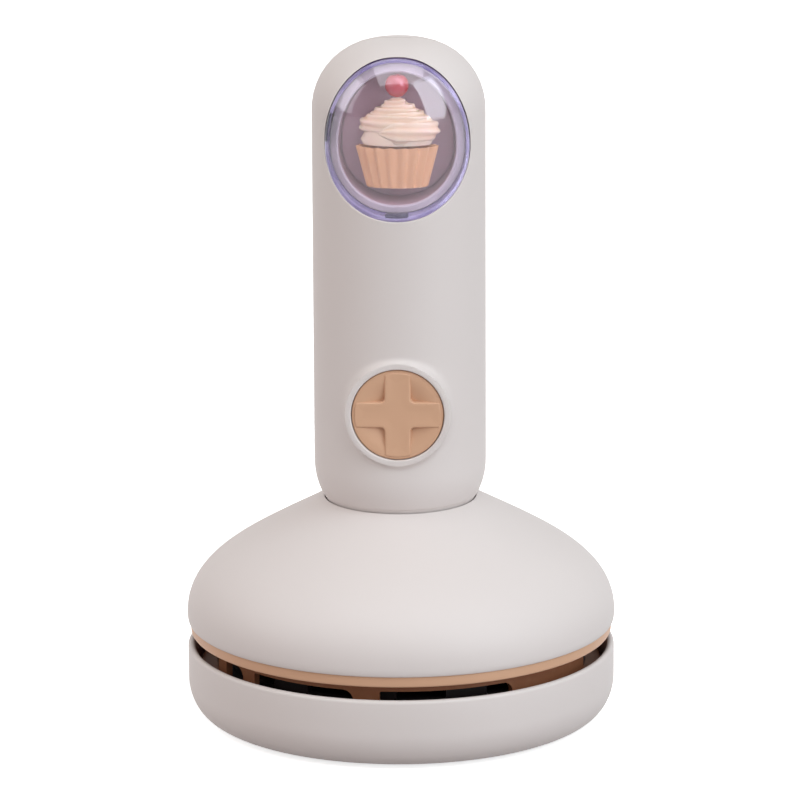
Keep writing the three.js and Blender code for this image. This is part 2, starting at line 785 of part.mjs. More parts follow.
function lensOutline(grow) {
  return Array.from({ length: lensSteps }, (_, n) => {
    const angle = radians(fullTurn * n / lensSteps);
    const power = 2 / (Math.sin(angle) >= 0 ? lensUpperPower : lensLowerPower);
    const reach = (value) => Math.sign(value) * Math.abs(value) ** power;
    return [
      (lensHalfWidth + grow) * reach(Math.cos(angle)),
      lensHeight + (lensHalfHeight + grow) * reach(Math.sin(angle)),
    ];
  });
}

const handleFill = turned(handleProfile(handleWall / 2), handleSteps);
const handleHollow = turned(handleProfile(handleWall, socketFloor - overrun), handleSteps);
const neckLip = ring(neckLipRadius, handleRadius, lipBottom, lipTop, handleSteps).intersect(handleFill);
const handleWhole = joined(cutBy(turned(handleProfile(0), handleSteps), handleHollow), neckLip);

// The raised rim that the button sits in, turned about Y and blended into the capsule's side
function buttonBoss() {
  const rim = buttonRadius + buttonGap + bezelWidth;
  const profile = [
    [0, bezelFront], [rim - bezelProud / 2, bezelFront], [rim, bezelFront + bezelProud / 4],
    [rim + bezelFlare, -handleRadius], [rim + bezelFlank, bezelFront / 2], [0, bezelFront / 2],
  ];
  return turned(profile, handleSteps).rotate([-90, 0, 0]).translate([0, 0, buttonHeight]);
}

function handleFront() {
  const half = block(
    -handleRadius - overrun, handleRadius + overrun, cutFront, splitFromAxis - seamGap / 2,
    socketFloor - overrun, handleTop + overrun);
  const boss = cutBy(buttonBoss(), handleHollow);
  const posts = [-1, 1].flatMap((side) => [
    rodY(boardPostRadius, side * boardPostSide, buttonHeight + boardPostAbove, -handleRadius, boardFace),
    rodY(boardPegRadius, side * boardPegSide, buttonHeight + boardPegDrop, -handleRadius, boardFace),
    rodY(handleBossRadius, side * handleScrewSide, handleScrewHeight, -handleRadius, splitFromAxis - seamGap / 2),
  ]).map((post) => post.intersect(handleFill));
  const shell = joined(handleWhole.intersect(half), boss, ...posts);
  const bores = [-1, 1].flatMap((side) => [
    rodY(screwRadius + screwGap, side * boardPostSide, buttonHeight + boardPostAbove,
      boardFace - boardScrewGrip - fitGap, boardFace + overrun),
    rodY(screwRadius + screwGap, side * handleScrewSide, handleScrewHeight,
      splitFromAxis - handleScrewGrip, splitFromAxis + overrun),
  ]);
  return cutBy(
    shell, ...bores,
    rodY(buttonRadius + buttonGap, 0, buttonHeight, cutFront, boardFace, handleSteps),
    drawnBack(lensOutline(fitGap), cutFront, -splitFromAxis));
}

function handleBack() {
  const seam = splitFromAxis + seamGap / 2;
  const half = block(
    -handleRadius - overrun, handleRadius + overrun, seam, handleRadius + overrun,
    socketFloor - overrun, handleTop + overrun);
  const cellSpan = cellTop - cellBottom;
  const stops = [
    [cellBottom - tabThickness - fitGap - ribThickness, cellBottom - tabThickness - fitGap],
    [cellTop + tabThickness + fitGap, cellTop + tabThickness + fitGap + ribThickness],
  ].map(([low, high]) => cutBy(
    block(-handleRadius, handleRadius, ribFront, handleRadius, low, high),
    block(-stopSlotHalf, stopSlotHalf, ribFront - overrun, ribFront + stopSlotDepth, low - overrun, high + overrun)));
  const cellSpace = disc(cellRadius + fitGap, cellBottom, cellTop, 2 * smallSteps).translate([0, cellBack, 0]);
  const ribs = ribShares.map((share) => cutBy(block(
    -handleRadius, handleRadius, ribFront, handleRadius,
    cellBottom + cellSpan * share - ribThickness / 2, cellBottom + cellSpan * share + ribThickness / 2,
  ), cellSpace));
  const bosses = [
    ...[-1, 1].map((side) => rodY(
      handleBossRadius, side * handleScrewSide, handleScrewHeight, seam, handleRadius)),
    rodY(handleBossRadius + handleWall / 2, 0, trayScrewHeight, trayBack + trayPostLength + fitGap, handleRadius),
  ];
  const inside = [...stops, ...ribs, ...bosses].map((part) => part.intersect(handleFill));
  const tunnels = [
    ...[-1, 1].map((side) => [side * handleScrewSide, handleScrewHeight, splitFromAxis]),
    [0, trayScrewHeight, trayBack + trayPostLength],
  ].flatMap(([x, z, bossFront]) => [
    rodY(screwHeadRadius + fitGap, x, z, bossFront + handleBossSeat, handleRadius + overrun),
    rodY(screwRadius + screwGap, x, z, bossFront - overrun, bossFront + handleBossSeat + overrun),
  ]);
  const usb = drawnBack(
    roundedSlot(socketWidth / 2 + socketClearance, socketHeight / 2 + socketClearance),
    handleInside - socketLength, handleRadius + overrun);
  return cutBy(joined(handleWhole.intersect(half), ...inside), ...tunnels, usb);
}

// Outline of the charging socket, grown to halves across and up
function roundedSlot(halfWidth, halfHeight) {
  const middle = chargeBoardTop + socketHeight / 2;
  const flat = halfWidth - halfHeight;
  return [
    ...arc(flat, middle, halfHeight, halfHeight, -90, 90),
    ...arc(-flat, middle, halfHeight, halfHeight, 90, 270),
  ];
}

piece('handle_front_shell', handleFront(), shellWhite);
piece('handle_back_shell', handleBack(), shellWhite);

piece('neck_plate', cutBy(
  disc(neckInside - fitGap, socketFloor, lipBottom, handleSteps),
  disc(wireHoleRadius, socketFloor - overrun, lipBottom + overrun, 2 * smallSteps),
  ...[-1, 1].map((side) => disc(
    screwRadius + screwGap, socketFloor - overrun, lipBottom + overrun,
  ).translate([0, side * neckScrewOffset, 0])),
), darkPlastic);
for (const [side, name] of [[-1, 'neck_screw_1'], [1, 'neck_screw_2']]) {
  piece(name, screwUp(0, side * neckScrewOffset, socketUnder, socketFloorThickness + neckScrewGrip), steel);
}

// Display window: clear lens with a skirt, and the tray behind it
function displayLens() {
  const space = drawnBack(lensOutline(0), cutFront, lensBack);
  const dome = cutBy(
    turned(handleProfile(-lensProud), handleSteps),
    turned(handleProfile(lensThickness - lensProud), handleSteps));
  const skirt = cutBy(
    space,
    drawnBack(lensOutline(-lensSkirtWall), cutFront - overrun, lensBack + overrun),
  ).intersect(turned(handleProfile(-lensProud / 2), handleSteps));
  return joined(dome.intersect(space), skirt);
}

piece('display_lens', displayLens(), lensLilac);

function displayTray() {
  const plate = drawnBack(lensOutline(-trayInset), trayFloor, trayBack);
  const rim = cutBy(
    drawnBack(lensOutline(-trayInset), trayFront, trayFloor + trayThickness / 2),
    drawnBack(lensOutline(-trayInset - trayRim), trayFront - overrun, trayBack + overrun));
  const post = rodY(handleBossRadius, 0, trayScrewHeight, trayFloor + trayThickness / 2, trayBack + trayPostLength);
  const bore = rodY(
    screwRadius + screwGap, 0, trayScrewHeight, trayBack, trayBack + trayPostLength + overrun);
  const room = turned(handleProfile(handleWall + fitGap), handleSteps);
  return cutBy(joined(plate, rim, post), bore).intersect(room);
}

piece('display_tray', displayTray(), trayMauve);

// Ornament: a small iced cake in flattened relief, standing before the tray
const cupHeight = lensHalfHeight * cupHeightShare;
const cupFootHalf = lensHalfWidth * cupFootShare;
const cupTopHalf = lensHalfWidth * cupTopShare;
const creamHalf = lensHalfWidth * creamHalfShare;
const creamHeight = lensHalfHeight * creamHeightShare;
const cherryRadius = lensHalfHeight * cherryShare;
const ornamentBottom = lensHeight - lensHalfHeight * ornamentDropShare;
const ornamentMiddle = trayFloor - fitGap - ornamentDepth;

function flattened(solid, halfWidth) {
  return solid.scale([1, ornamentDepth / halfWidth, 1]).translate([0, ornamentMiddle, ornamentBottom]);
}

function ornamentCup() {
  const turns = 2 * cupPleats;
  const outline = (half) => Array.from({ length: turns }, (_, n) => {
    const radius = half * (1 + (n % 2 ? pleatShare : -pleatShare));
    return onCircle(radius, fullTurn * n / turns);
  });
  const low = outline(cupFootHalf);
  const cone = raised(low, 0, cupHeight);
  const widen = cupTopHalf / cupFootHalf - 1;
  const flared = cone.warp((vertex) => {
    const grow = 1 + widen * vertex[2] / cupHeight;
    vertex[0] *= grow;
    vertex[1] *= grow;
  });
  return flattened(flared, creamHalf);
}

function ornamentCream() {
  const tiers = creamTierShares.map(([halfShare, lowShare, heightShare]) => {
    const half = creamHalf * halfShare;
    const low = creamHeight * lowShare;
    const high = creamHeight * heightShare / 2;
    return turned([[0, low], ...arc(half - high, low + high, high, high, -90, 90), [0, low + 2 * high]], 2 * smallSteps);
  });
  return flattened(joined(...tiers).translate([0, 0, cupHeight + fitGap]), creamHalf);
}

piece('ornament_cup', ornamentCup(), cupApricot);
piece('ornament_cream', ornamentCream(), creamWhite);
const cherryGeometry = new THREE.SphereGeometry(cherryRadius, 2 * smallSteps, smallSteps);
cherryGeometry.rotateX(Math.PI / 2);
cherryGeometry.translate(
  0, ornamentMiddle, ornamentBottom + cupHeight + 2 * fitGap + creamHeight + cherryRadius);
piece('ornament_cherry', solidOf(cherryGeometry), cherryRed);

piece('tray_screw', screwForward(
  0, trayScrewHeight, trayBack + trayPostLength + handleBossSeat, handleBossSeat + trayScrewGrip - fitGap), steel);
for (const [side, name] of [[-1, 'handle_screw_1'], [1, 'handle_screw_2']]) {
  piece(name, screwForward(
    side * handleScrewSide, handleScrewHeight, splitFromAxis + handleBossSeat,
    handleBossSeat + handleScrewGrip - fitGap), steel);
}

// Power button: a domed cap with a raised cross, a flange behind the shell and a plunger
const buttonBase = buttonFace + buttonRecess;

function powerButton() {
  const cap = rodY(buttonRadius, 0, buttonHeight, buttonBase, buttonBack, handleSteps);
  const flange = rodY(
    flangeEdge, 0, buttonHeight, buttonBack - buttonFlangeThickness, buttonBack, handleSteps);
  const reach = buttonRadius - crossInset;
  const arms = [[reach, crossWidth / 2], [crossWidth / 2, reach]].map(([x, z]) => block(
    -x, x, buttonFace, buttonBase + buttonRecess / 2, buttonHeight - z, buttonHeight + z));
  const plunger = rodY(
    plungerRadius, 0, buttonHeight, buttonBack - buttonFlangeThickness / 2,
    boardFace - switchDepth - switchStemReach - fitGap);
  return joined(cap, flange, ...arms, plunger);
}

piece('power_button', powerButton(), tanPlastic);

// Control board behind the button
piece('control_board', cutBy(
  block(-boardHalfWidth, boardHalfWidth, boardFace, boardBack, boardBottom, boardTop),
  ...[-1, 1].map((side) => rodY(
    screwRadius + screwGap, side * boardPostSide, buttonHeight + boardPostAbove,
    boardFace - overrun, boardBack + overrun)),
), boardGreen);
for (const [side, name] of [[-1, 'board_screw_1'], [1, 'board_screw_2']]) {
  piece(name, screwForward(
    side * boardPostSide, buttonHeight + boardPostAbove, boardBack, boardThickness + boardScrewGrip), steel);
}

const switchFront = boardFace - switchDepth;
piece('tact_switch', cutBy(
  block(-switchSize / 2, switchSize / 2, switchFront, boardFace,
    buttonHeight - switchSize / 2, buttonHeight + switchSize / 2),
  rodY(switchStemRadius + fitGap, 0, buttonHeight, switchFront - overrun, switchFront + 2 * switchStemReach + buttonTravel),
), darkPlastic);
piece('switch_stem', rodY(
  switchStemRadius, 0, buttonHeight, switchFront - switchStemReach, switchFront + switchStemReach), tanPlastic);

class CoilCurve extends THREE.Curve {
  getPoint(share) {
    const angle = 2 * Math.PI * springTurns * share;
    const start = buttonBack + fitGap + springWire;
    const end = boardFace - fitGap - springWire;
    return new THREE.Vector3(
      springRadius * Math.cos(angle), start + (end - start) * share, buttonHeight + springRadius * Math.sin(angle));
  }
}

piece('button_spring', wire(new CoilCurve(), springWire, springTurns * smallSteps, wireSides), steel);

piece('controller_chip', block(
  -chipSize / 2, chipSize / 2, boardFace - chipThickness, boardFace,
  buttonHeight + chipAboveButton - chipSize / 2, buttonHeight + chipAboveButton + chipSize / 2), darkPlastic);
piece('motor_plug', block(
  -plugHalfWidth, plugHalfWidth, boardBack, boardBack + plugDepth, motorPlugBottom, motorPlugTop), filterWhite);
piece('cell_plug', block(
  cellPlugCentre - cellPlugHalfWidth, cellPlugCentre + cellPlugHalfWidth, boardBack, boardBack + cellPlugDepth,
  boardTop - cellPlugHeight, boardTop), filterWhite);

// Battery cell and its end tabs
const atCell = (solid) => solid.translate([0, cellBack, 0]);
piece('battery_cell', atCell(disc(cellRadius, cellBottom, cellTop, 2 * smallSteps)), cellBlue);
piece('cell_tab_bottom', atCell(disc(tabRadius, cellBottom - tabThickness, cellBottom)), steel);
piece('cell_tab_top', atCell(disc(tabRadius, cellTop, cellTop + tabThickness)), steel);

// Charging board and socket, low in the back
const socketBack = handleRadius - socketRecess;
piece('charge_board', block(
  -chargeBoardHalf, chargeBoardHalf, splitFromAxis + chargeBoardGap, socketBack - chargeBoardInset,
  lipTop, chargeBoardTop), boardGreen);

function chargeSocket() {
  const body = drawnBack(
    roundedSlot(socketWidth / 2, socketHeight / 2), socketBack - socketLength, socketBack);
  const mouth = drawnBack(
    roundedSlot(socketWidth / 2 - socketWall, socketHeight / 2 - socketWall),
    socketBack - socketLength + socketWall, socketBack + overrun);
  const middle = chargeBoardTop + socketHeight / 2;
  const tongue = block(
    -tongueHalf, tongueHalf, socketBack - socketLength, socketBack - tongueShort,
    middle - tongueThickness / 2, middle + tongueThickness / 2);
  return joined(cutBy(body, mouth), tongue);
}

piece('charge_socket', chargeSocket(), steel);

// Leads inside the body
const terminalTop = motorCapTop + terminalHeight + fitGap;
const plugMiddle = boardBack + plugDepth / 2;
for (const [side, name, material] of [
  [-1, 'motor_lead_black', blackWire], [1, 'motor_lead_red', redWire],
]) {
  const x = side * terminalOffset;
  piece(name, lead([
    [x, 0, terminalTop], [x, 0, socketFloor], [x, 0, lipBottom], [x, plugMiddle / 2, lipTop],
    [x, plugMiddle, boardBottom - fitGap], [x, plugMiddle, motorPlugBottom - fitGap],
  ]), material);
}

const stopMiddle = cellBottom - tabThickness - fitGap;
piece('cell_lead_black', lead([
  [0, cellBack, stopMiddle], [0, cellBack - leadRadius, stopMiddle - ribThickness],
  [0, (cellBack + boardBack + plugDepth) / 2, motorPlugBottom + plugHeight / 2],
  [0, boardBack + plugDepth + fitGap, motorPlugBottom + plugHeight / 2],
]), blackWire);
const leadTop = cellTop + tabThickness + fitGap;
const leadLane = boardBack + cellPlugDepth / 2;
piece('cell_lead_red', lead([
  [0, cellBack, leadTop], [0, cellBack - leadRadius, leadTop + ribThickness],
  [cellPlugCentre / 2, 0, leadTop + ribThickness], [cellPlugCentre, leadLane, cellTop - ribThickness],
  [cellPlugCentre, leadLane, (cellTop + boardTop) / 2], [cellPlugCentre, leadLane, boardTop + fitGap],
]), redWire);

export default vacuum;
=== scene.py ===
# Desktop mini vacuum cleaner: the looks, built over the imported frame
import json
import math

import bmesh
import bpy
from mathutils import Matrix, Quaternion, Vector


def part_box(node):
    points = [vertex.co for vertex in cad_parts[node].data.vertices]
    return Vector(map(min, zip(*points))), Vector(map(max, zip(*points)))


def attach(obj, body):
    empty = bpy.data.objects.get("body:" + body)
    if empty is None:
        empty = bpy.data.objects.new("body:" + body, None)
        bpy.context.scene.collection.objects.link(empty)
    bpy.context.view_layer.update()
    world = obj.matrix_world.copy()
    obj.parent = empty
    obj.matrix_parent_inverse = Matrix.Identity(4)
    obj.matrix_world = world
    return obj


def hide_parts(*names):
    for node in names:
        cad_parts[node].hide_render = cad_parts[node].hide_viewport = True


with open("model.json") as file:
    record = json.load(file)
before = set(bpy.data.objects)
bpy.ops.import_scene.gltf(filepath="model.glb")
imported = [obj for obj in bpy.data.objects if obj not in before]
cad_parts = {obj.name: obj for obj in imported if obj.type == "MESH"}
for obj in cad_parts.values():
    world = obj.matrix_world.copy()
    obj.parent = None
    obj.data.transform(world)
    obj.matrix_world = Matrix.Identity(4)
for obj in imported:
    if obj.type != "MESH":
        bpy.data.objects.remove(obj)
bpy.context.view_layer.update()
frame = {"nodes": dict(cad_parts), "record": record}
cadNodes = frame["nodes"]
slotOf = {part["node"]: part["material_slot"] for part in frame["record"]["subparts"]}
mm = 0.001
print("stage: frame loaded,", len(cadNodes), "nodes")


class planOf(dict):  # a piece's dictionary, whose values also read as plan.name
    __getattr__ = dict.__getitem__


def boxOf(node):  # a node's corners in millimetres
    low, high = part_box(node)
    return low / mm, high / mm


def middleOf(node):
    return [(a + b) / 2 for a, b in zip(*boxOf(node))]


def numbered(stem, count):
    return [f"{stem}_{n}" for n in range(1, count + 1)]


def addObject(name, data):
    made = bpy.data.objects.new(name, data)
    bpy.context.scene.collection.objects.link(made)
    return made


def aimAlong(made, place, direction):
    made.location = place
    made.rotation_mode = "QUATERNION"
    made.rotation_quaternion = direction.to_track_quat("-Z", "Y")


# Camera, where the photograph was taken from; the object stands turned a little to the left there
cameraPlan = planOf(
    turnDegrees=1.6, away=1.2613, height=0.3957, target=(0.0, 0.0, 0.0753), lens=251.75, sensor=36.0,
    rollDegrees=-0.28, near=0.05, far=60.0)


def makeCamera(plan):
    data = bpy.data.cameras.new("camera")
    data.lens, data.sensor_width = plan.lens, plan.sensor
    data.clip_start, data.clip_end = plan.near, plan.far
    camera = addObject("camera", data)
    turn = math.radians(plan.turnDegrees)
    place = Vector((plan.away * math.sin(turn), -plan.away * math.cos(turn), plan.height))
    aimAlong(camera, place, Vector(plan.target) - place)
    roll = Quaternion((0, 0, 1), math.radians(plan.rollDegrees))
    camera.rotation_quaternion = camera.rotation_quaternion @ roll
    bpy.context.scene.camera = camera


makeCamera(cameraPlan)


# Colours are written as on screen and turned linear here
def shade(*levels):
    shares = [level / 255 for level in levels]
    return (*(s / 12.92 if s <= 0.04045 else ((s + 0.055) / 1.055) ** 2.4 for s in shares), 1.0)


def feed(tree, node, inputs):  # an input takes a value, or the output of another node
    for label, value in inputs.items():
        if isinstance(value, bpy.types.NodeSocket):
            tree.links.new(value, node.inputs[label])
        else:
            node.inputs[label].default_value = value
    return node


def addNode(tree, kind, inputs={}, **settings):
    node = tree.nodes.new("ShaderNode" + kind)
    row, column = divmod(len(tree.nodes), 6)
    node.location = (column * 190 - 1400, 300 - row * 240)
    for name, value in settings.items():
        setattr(node, name, value)
    return feed(tree, node, inputs)


def objectPlace(tree):
    return addNode(tree, "TexCoord").outputs["Object"]


def mathNode(tree, operation, first, second):
    return addNode(tree, "Math", {0: first, 1: second}, operation=operation).outputs[0]


def times(tree, first, second):
    return mathNode(tree, "MULTIPLY", first, second)


def plus(tree, first, second):
    return mathNode(tree, "ADD", first, second)


def anyRay(tree, *kinds):  # 1 where the light path is one of these
    path = addNode(tree, "LightPath")
    seen = path.outputs[kinds[0]]
    for kind in kinds[1:]:
        seen = mathNode(tree, "MAXIMUM", seen, path.outputs[kind])
    return seen


def spanned(tree, value, low, high, **settings):  # low to high becomes 0 to 1
    inputs = {"Value": value, "From Min": low, "From Max": high}
    return addNode(tree, "MapRange", inputs, **settings).outputs[0]


def heightMask(tree, start, end):  # 0 to 1 between two heights in millimetres
    upward = addNode(tree, "SeparateXYZ", {0: objectPlace(tree)}).outputs["Z"]
    return spanned(tree, upward, start * mm, end * mm, interpolation_type="SMOOTHSTEP")


def mixColours(tree, amount, first, second):
    return addNode(tree, "Mix", {0: amount, 6: first, 7: second}, data_type="RGBA").outputs[2]


def noiseNode(tree, place, scale, detail, roughness=0.5):
    inputs = {"Vector": place, "Scale": scale, "Detail": detail, "Roughness": roughness}
    return addNode(tree, "TexNoise", inputs).outputs["Fac"]


def newGroup(name, inputs, outputs):
    group = bpy.data.node_groups.new(name, "ShaderNodeTree")
    for side, labels in (("INPUT", inputs), ("OUTPUT", outputs)):
        for label in labels:
            kind = "NodeSocketColor" if "Colour" in label else "NodeSocketFloat"
            socket = group.interface.new_socket(name=label, in_out=side, socket_type=kind)
            if side == "INPUT":
                socket.default_value = inputs[label]
    start, end = group.nodes.new("NodeGroupInput"), group.nodes.new("NodeGroupOutput")
    start.location, end.location = (-1600, 0), (0, 0)
    return group, start.outputs, end


# Shared effect: moulded plastic, with slow colour and gloss changes and a fine spark-eroded grain
def buildMouldedSkin():
    group, given, end = newGroup("mouldedSkin", {
        "Colour": (0.5, 0.5, 0.5, 1), "Mottle Colour": (0.4, 0.4, 0.4, 1), "Mottle Amount": 0.3,
        "Mottle Scale": 40.0, "Grain Scale": 1800.0, "Roughness": 0.4, "Roughness Spread": 0.08,
    }, ("Colour", "Roughness", "Height"))
    place = objectPlace(group)
    mottle = times(group, noiseNode(group, place, given["Mottle Scale"], 2.0), given["Mottle Amount"])
    gloss = noiseNode(group, place, times(group, given["Mottle Scale"], 2.7), 3.0)
    gloss = times(group, mathNode(group, "SUBTRACT", gloss, 0.5), given["Roughness Spread"])
    feed(group, end, {
        "Colour": mixColours(group, mottle, given["Colour"], given["Mottle Colour"]),
        "Roughness": plus(group, gloss, given["Roughness"]),
        "Height": noiseNode(group, place, given["Grain Scale"], 3.0, 0.6)})
    return group


# Shared effect: dust that settles on faces that look up
def buildSettledDust():
    group, given, end = newGroup("settledDust", {
        "Colour": (0.5, 0.5, 0.5, 1), "Dust Colour": (0.5, 0.45, 0.4, 1), "Amount": 0.2, "Speck Scale": 900.0,
    }, ("Colour",))
    normal = addNode(group, "NewGeometry").outputs["Normal"]
    faceUp = mathNode(group, "MAXIMUM", addNode(group, "SeparateXYZ", {0: normal}).outputs["Z"], 0.0)
    specks = noiseNode(group, objectPlace(group), given["Speck Scale"], 4.0, 0.7)
    mask = times(group, times(group, specks, faceUp), given["Amount"])
    feed(group, end, {"Colour": mixColours(group, mask, given["Colour"], given["Dust Colour"])})
    return group


# Shared effect: fine drawn or turned lines on metal
def buildDrawnLines():
    group, given, end = newGroup("drawnLines", {
        "Colour": (0.5, 0.5, 0.5, 1), "Line Colour": (0.3, 0.3, 0.3, 1), "Line Scale": 3000.0, "Roughness": 0.3,
    }, ("Colour", "Roughness", "Height"))
    stretch = addNode(group, "Mapping", {"Vector": objectPlace(group), "Scale": (0.04, 0.04, 1.0)})
    lines = noiseNode(group, stretch.outputs[0], given["Line Scale"], 2.0)
    feed(group, end, {
        "Colour": mixColours(group, lines, given["Colour"], given["Line Colour"]),
        "Roughness": plus(group, times(group, lines, 0.2), given["Roughness"]),
        "Height": lines})
    return group


mouldedSkin = buildMouldedSkin()
settledDust = buildSettledDust()
drawnLines = buildDrawnLines()


def newMaterial(name, sockets):
    material = bpy.data.materials.new(name)
    material.use_nodes = True
    tree = material.node_tree
    return material, tree, feed(tree, tree.nodes["Principled BSDF"], sockets)


def addBump(tree, shader, height, strength, distance):
    inputs = {"Height": height, "Strength": strength, "Distance": distance}
    feed(tree, shader, {"Normal": addNode(tree, "Bump", inputs).outputs[0]})


# Moulded finishes: colour, mottle colour, mottle amount and scale, grain scale, roughness and its spread,
# grain strength, and grain depth in metres
finishPlan = {
    "shellWhite": ((218, 209, 206), (210, 200, 198), 0.25, 30.0, 2600.0, 0.56, 0.05, 0.12, 0.00004),
    "tanPlastic": ((208, 165, 135), (196, 150, 120), 0.35, 60.0, 2400.0, 0.42, 0.08, 0.12, 0.00004),
    "chassisTan": ((208, 165, 135), (196, 150, 120), 0.35, 60.0, 2400.0, 0.45, 0.08, 0.12, 0.00004),
    "darkPlastic": ((24, 18, 19), (38, 29, 29), 0.5, 90.0, 2000.0, 0.5, 0.1, 0.2, 0.00005),
    "trayMauve": ((186, 152, 158), (168, 134, 140), 0.5, 120.0, 2000.0, 0.5, 0.08, 0.1, 0.00004),
    "trayRimMauve": ((190, 175, 181), (168, 152, 160), 0.5, 90.0, 2000.0, 0.5, 0.08, 0.1, 0.00004),
    "rubberGrey": ((58, 54, 55), (74, 69, 69), 0.5, 140.0, 3000.0, 0.75, 0.1, 0.35, 0.00006),
    "nylonWhite": ((232, 229, 216), (214, 208, 192), 0.4, 160.0, 2500.0, 0.45, 0.08, 0.1, 0.00004),
    "wireRed": ((176, 42, 38), (150, 30, 28), 0.5, 300.0, 4000.0, 0.4, 0.1, 0.1, 0.00003),
    "wireBlack": ((28, 28, 30), (44, 44, 46), 0.5, 300.0, 4000.0, 0.4, 0.1, 0.1, 0.00003),
    "cupApricot": ((232, 176, 124), (216, 150, 100), 0.55, 220.0, 2500.0, 0.35, 0.1, 0.1, 0.00004),
    "cherryRed": ((204, 52, 58), (160, 26, 34), 0.6, 400.0, 3000.0, 0.2, 0.08, 0.05, 0.00003),
    "lensClipLilac": ((52, 42, 74), (38, 30, 56), 0.5, 300.0, 3000.0, 0.3, 0.05, 0.05, 0.00003),
}


def mouldedPlastic(name, sockets={}, dust=None, paintedShade=None):
    colour, mottle, amount, scale, grain, roughness, spread, bump, depth = finishPlan[name]
    material, tree, shader = newMaterial(name, sockets)
    skin = addNode(tree, "Group", {
        "Colour": shade(*colour), "Mottle Colour": shade(*mottle), "Mottle Amount": amount, "Mottle Scale": scale,
        "Grain Scale": grain, "Roughness": roughness, "Roughness Spread": spread}, node_tree=mouldedSkin).outputs
    finish = skin["Colour"]
    if dust:  # colour, amount, speck scale
        finish = addNode(tree, "Group", {
            "Colour": finish, "Dust Colour": shade(*dust[0]), "Amount": dust[1], "Speck Scale": dust[2],
        }, node_tree=settledDust).outputs["Colour"]
    if paintedShade:  # painted shade: colour, and the heights between which it sets in
        reach = plus(tree, 0.85, times(tree, noiseNode(tree, objectPlace(tree), 400.0, 3.0), 0.3))
        finish = mixColours(tree, times(tree, heightMask(tree, *paintedShade[1:]), reach), finish, shade(*paintedShade[0]))
    feed(tree, shader, {"Base Color": finish, "Roughness": skin["Roughness"]})
    addBump(tree, shader, skin["Height"], bump, depth)
    return material


def drawnMetal(name, colour, line, scale, roughness):
    material, tree, shader = newMaterial(name, {"Metallic": 1.0})
    lines = addNode(tree, "Group", {
        "Colour": shade(*colour), "Line Colour": shade(*line), "Line Scale": scale, "Roughness": roughness,
    }, node_tree=drawnLines).outputs
    feed(tree, shader, {"Base Color": lines["Colour"], "Roughness": lines["Roughness"]})
    addBump(tree, shader, lines["Height"], 0.15, 0.00002)
    return material


def streakedMaterial(name, sockets, scale, detail, low, high, bump, glossShare=0.0):
    material, tree, shader = newMaterial(name, sockets)
    streaks = noiseNode(tree, objectPlace(tree), scale, detail)
    feed(tree, shader, {"Base Color": mixColours(tree, streaks, shade(*low), shade(*high))})
    if glossShare:
        feed(tree, shader, {"Roughness": times(tree, streaks, glossShare)})
    addBump(tree, shader, streaks, bump, 0.00005)
    return material


def feltMaterial():  # matted fibres that cross at two scales
    material, tree, shader = newMaterial("filterFelt", {"Roughness": 0.95, "Sheen Weight": 0.3})
    place = objectPlace(tree)
    fibres = addNode(tree, "TexWave", {
        "Vector": place, "Scale": 260.0, "Distortion": 24.0, "Detail": 3.0, "Detail Scale": 6.0}, wave_type="BANDS")
    both = times(tree, fibres.outputs["Fac"], noiseNode(tree, place, 420.0, 4.0, 0.65))
    feed(tree, shader, {"Base Color": mixColours(tree, both, shade(206, 200, 188), shade(240, 236, 226))})
    addBump(tree, shader, both, 0.5, 0.0002)
    return material


def boardMaterial():  # green solder mask with copper tracks showing through
    material, tree, shader = newMaterial("boardGreen", {"Roughness": 0.35, "Coat Weight": 0.3})
    place = objectPlace(tree)
    areas = addNode(tree, "TexVoronoi", {"Vector": place, "Scale": 150.0}, distance="CHEBYCHEV")
    pick = addNode(tree, "SeparateColor", {0: areas.outputs["Color"]}).outputs[0]
    tracks = []
    for direction, side, limit in (("X", "GREATER_THAN", 0.5), ("Z", "LESS_THAN", 0.35)):
        wave = addNode(tree, "TexWave", {"Vector": place, "Scale": 250.0}, bands_direction=direction)
        lines = mathNode(tree, "GREATER_THAN", wave.outputs["Fac"], 0.72)
        tracks.append(times(tree, lines, mathNode(tree, side, pick, limit)))
    tracks = plus(tree, *tracks)
    copper = mixColours(tree, tracks, shade(32, 98, 62), shade(64, 134, 80))
    cloud = times(tree, noiseNode(tree, place, 300.0, 3.0), 0.3)
    feed(tree, shader, {"Base Color": mixColours(tree, cloud, copper, shade(20, 70, 46))})
    addBump(tree, shader, tracks, 0.2, 0.00004)
    return material


# Iced cake: peach cream with a blush, painted paler on its ridges as a painted highlight, so its creases stay darker as
# painted shade
icingPlan = planOf(
    colour=(238, 200, 156), ridge=(248, 224, 192), blush=(236, 168, 158), roughness=0.32, blushScale=190.0,
    ridgeSpan=(0.46, 0.56), blushPower=3.0, blushAmount=0.9, glossSpread=0.12)


def icingMaterial(plan):
    material, tree, shader = newMaterial("creamWhite", {
        "Subsurface Weight": 0.15, "Subsurface Scale": 0.002, "Coat Weight": 0.2, "Coat Roughness": 0.1})
    place = objectPlace(tree)
    # painted highlight: the cream is paler where the surface bulges, found from its pointiness
    ridge = spanned(tree, addNode(tree, "NewGeometry").outputs["Pointiness"], *plan.ridgeSpan)
    cloud = noiseNode(tree, place, plan.blushScale, 2.0)
    blush = times(tree, mathNode(tree, "POWER", cloud, plan.blushPower), plan.blushAmount)
    colour = mixColours(tree, ridge, shade(*plan.colour), shade(*plan.ridge))
    feed(tree, shader, {
        "Base Color": mixColours(tree, blush, colour, shade(*plan.blush)),
        "Roughness": plus(tree, times(tree, cloud, plan.glossSpread), plan.roughness - plan.glossSpread / 2)})
    addBump(tree, shader, noiseNode(tree, place, 2200.0, 2.0), 0.06, 0.00004)
    return material


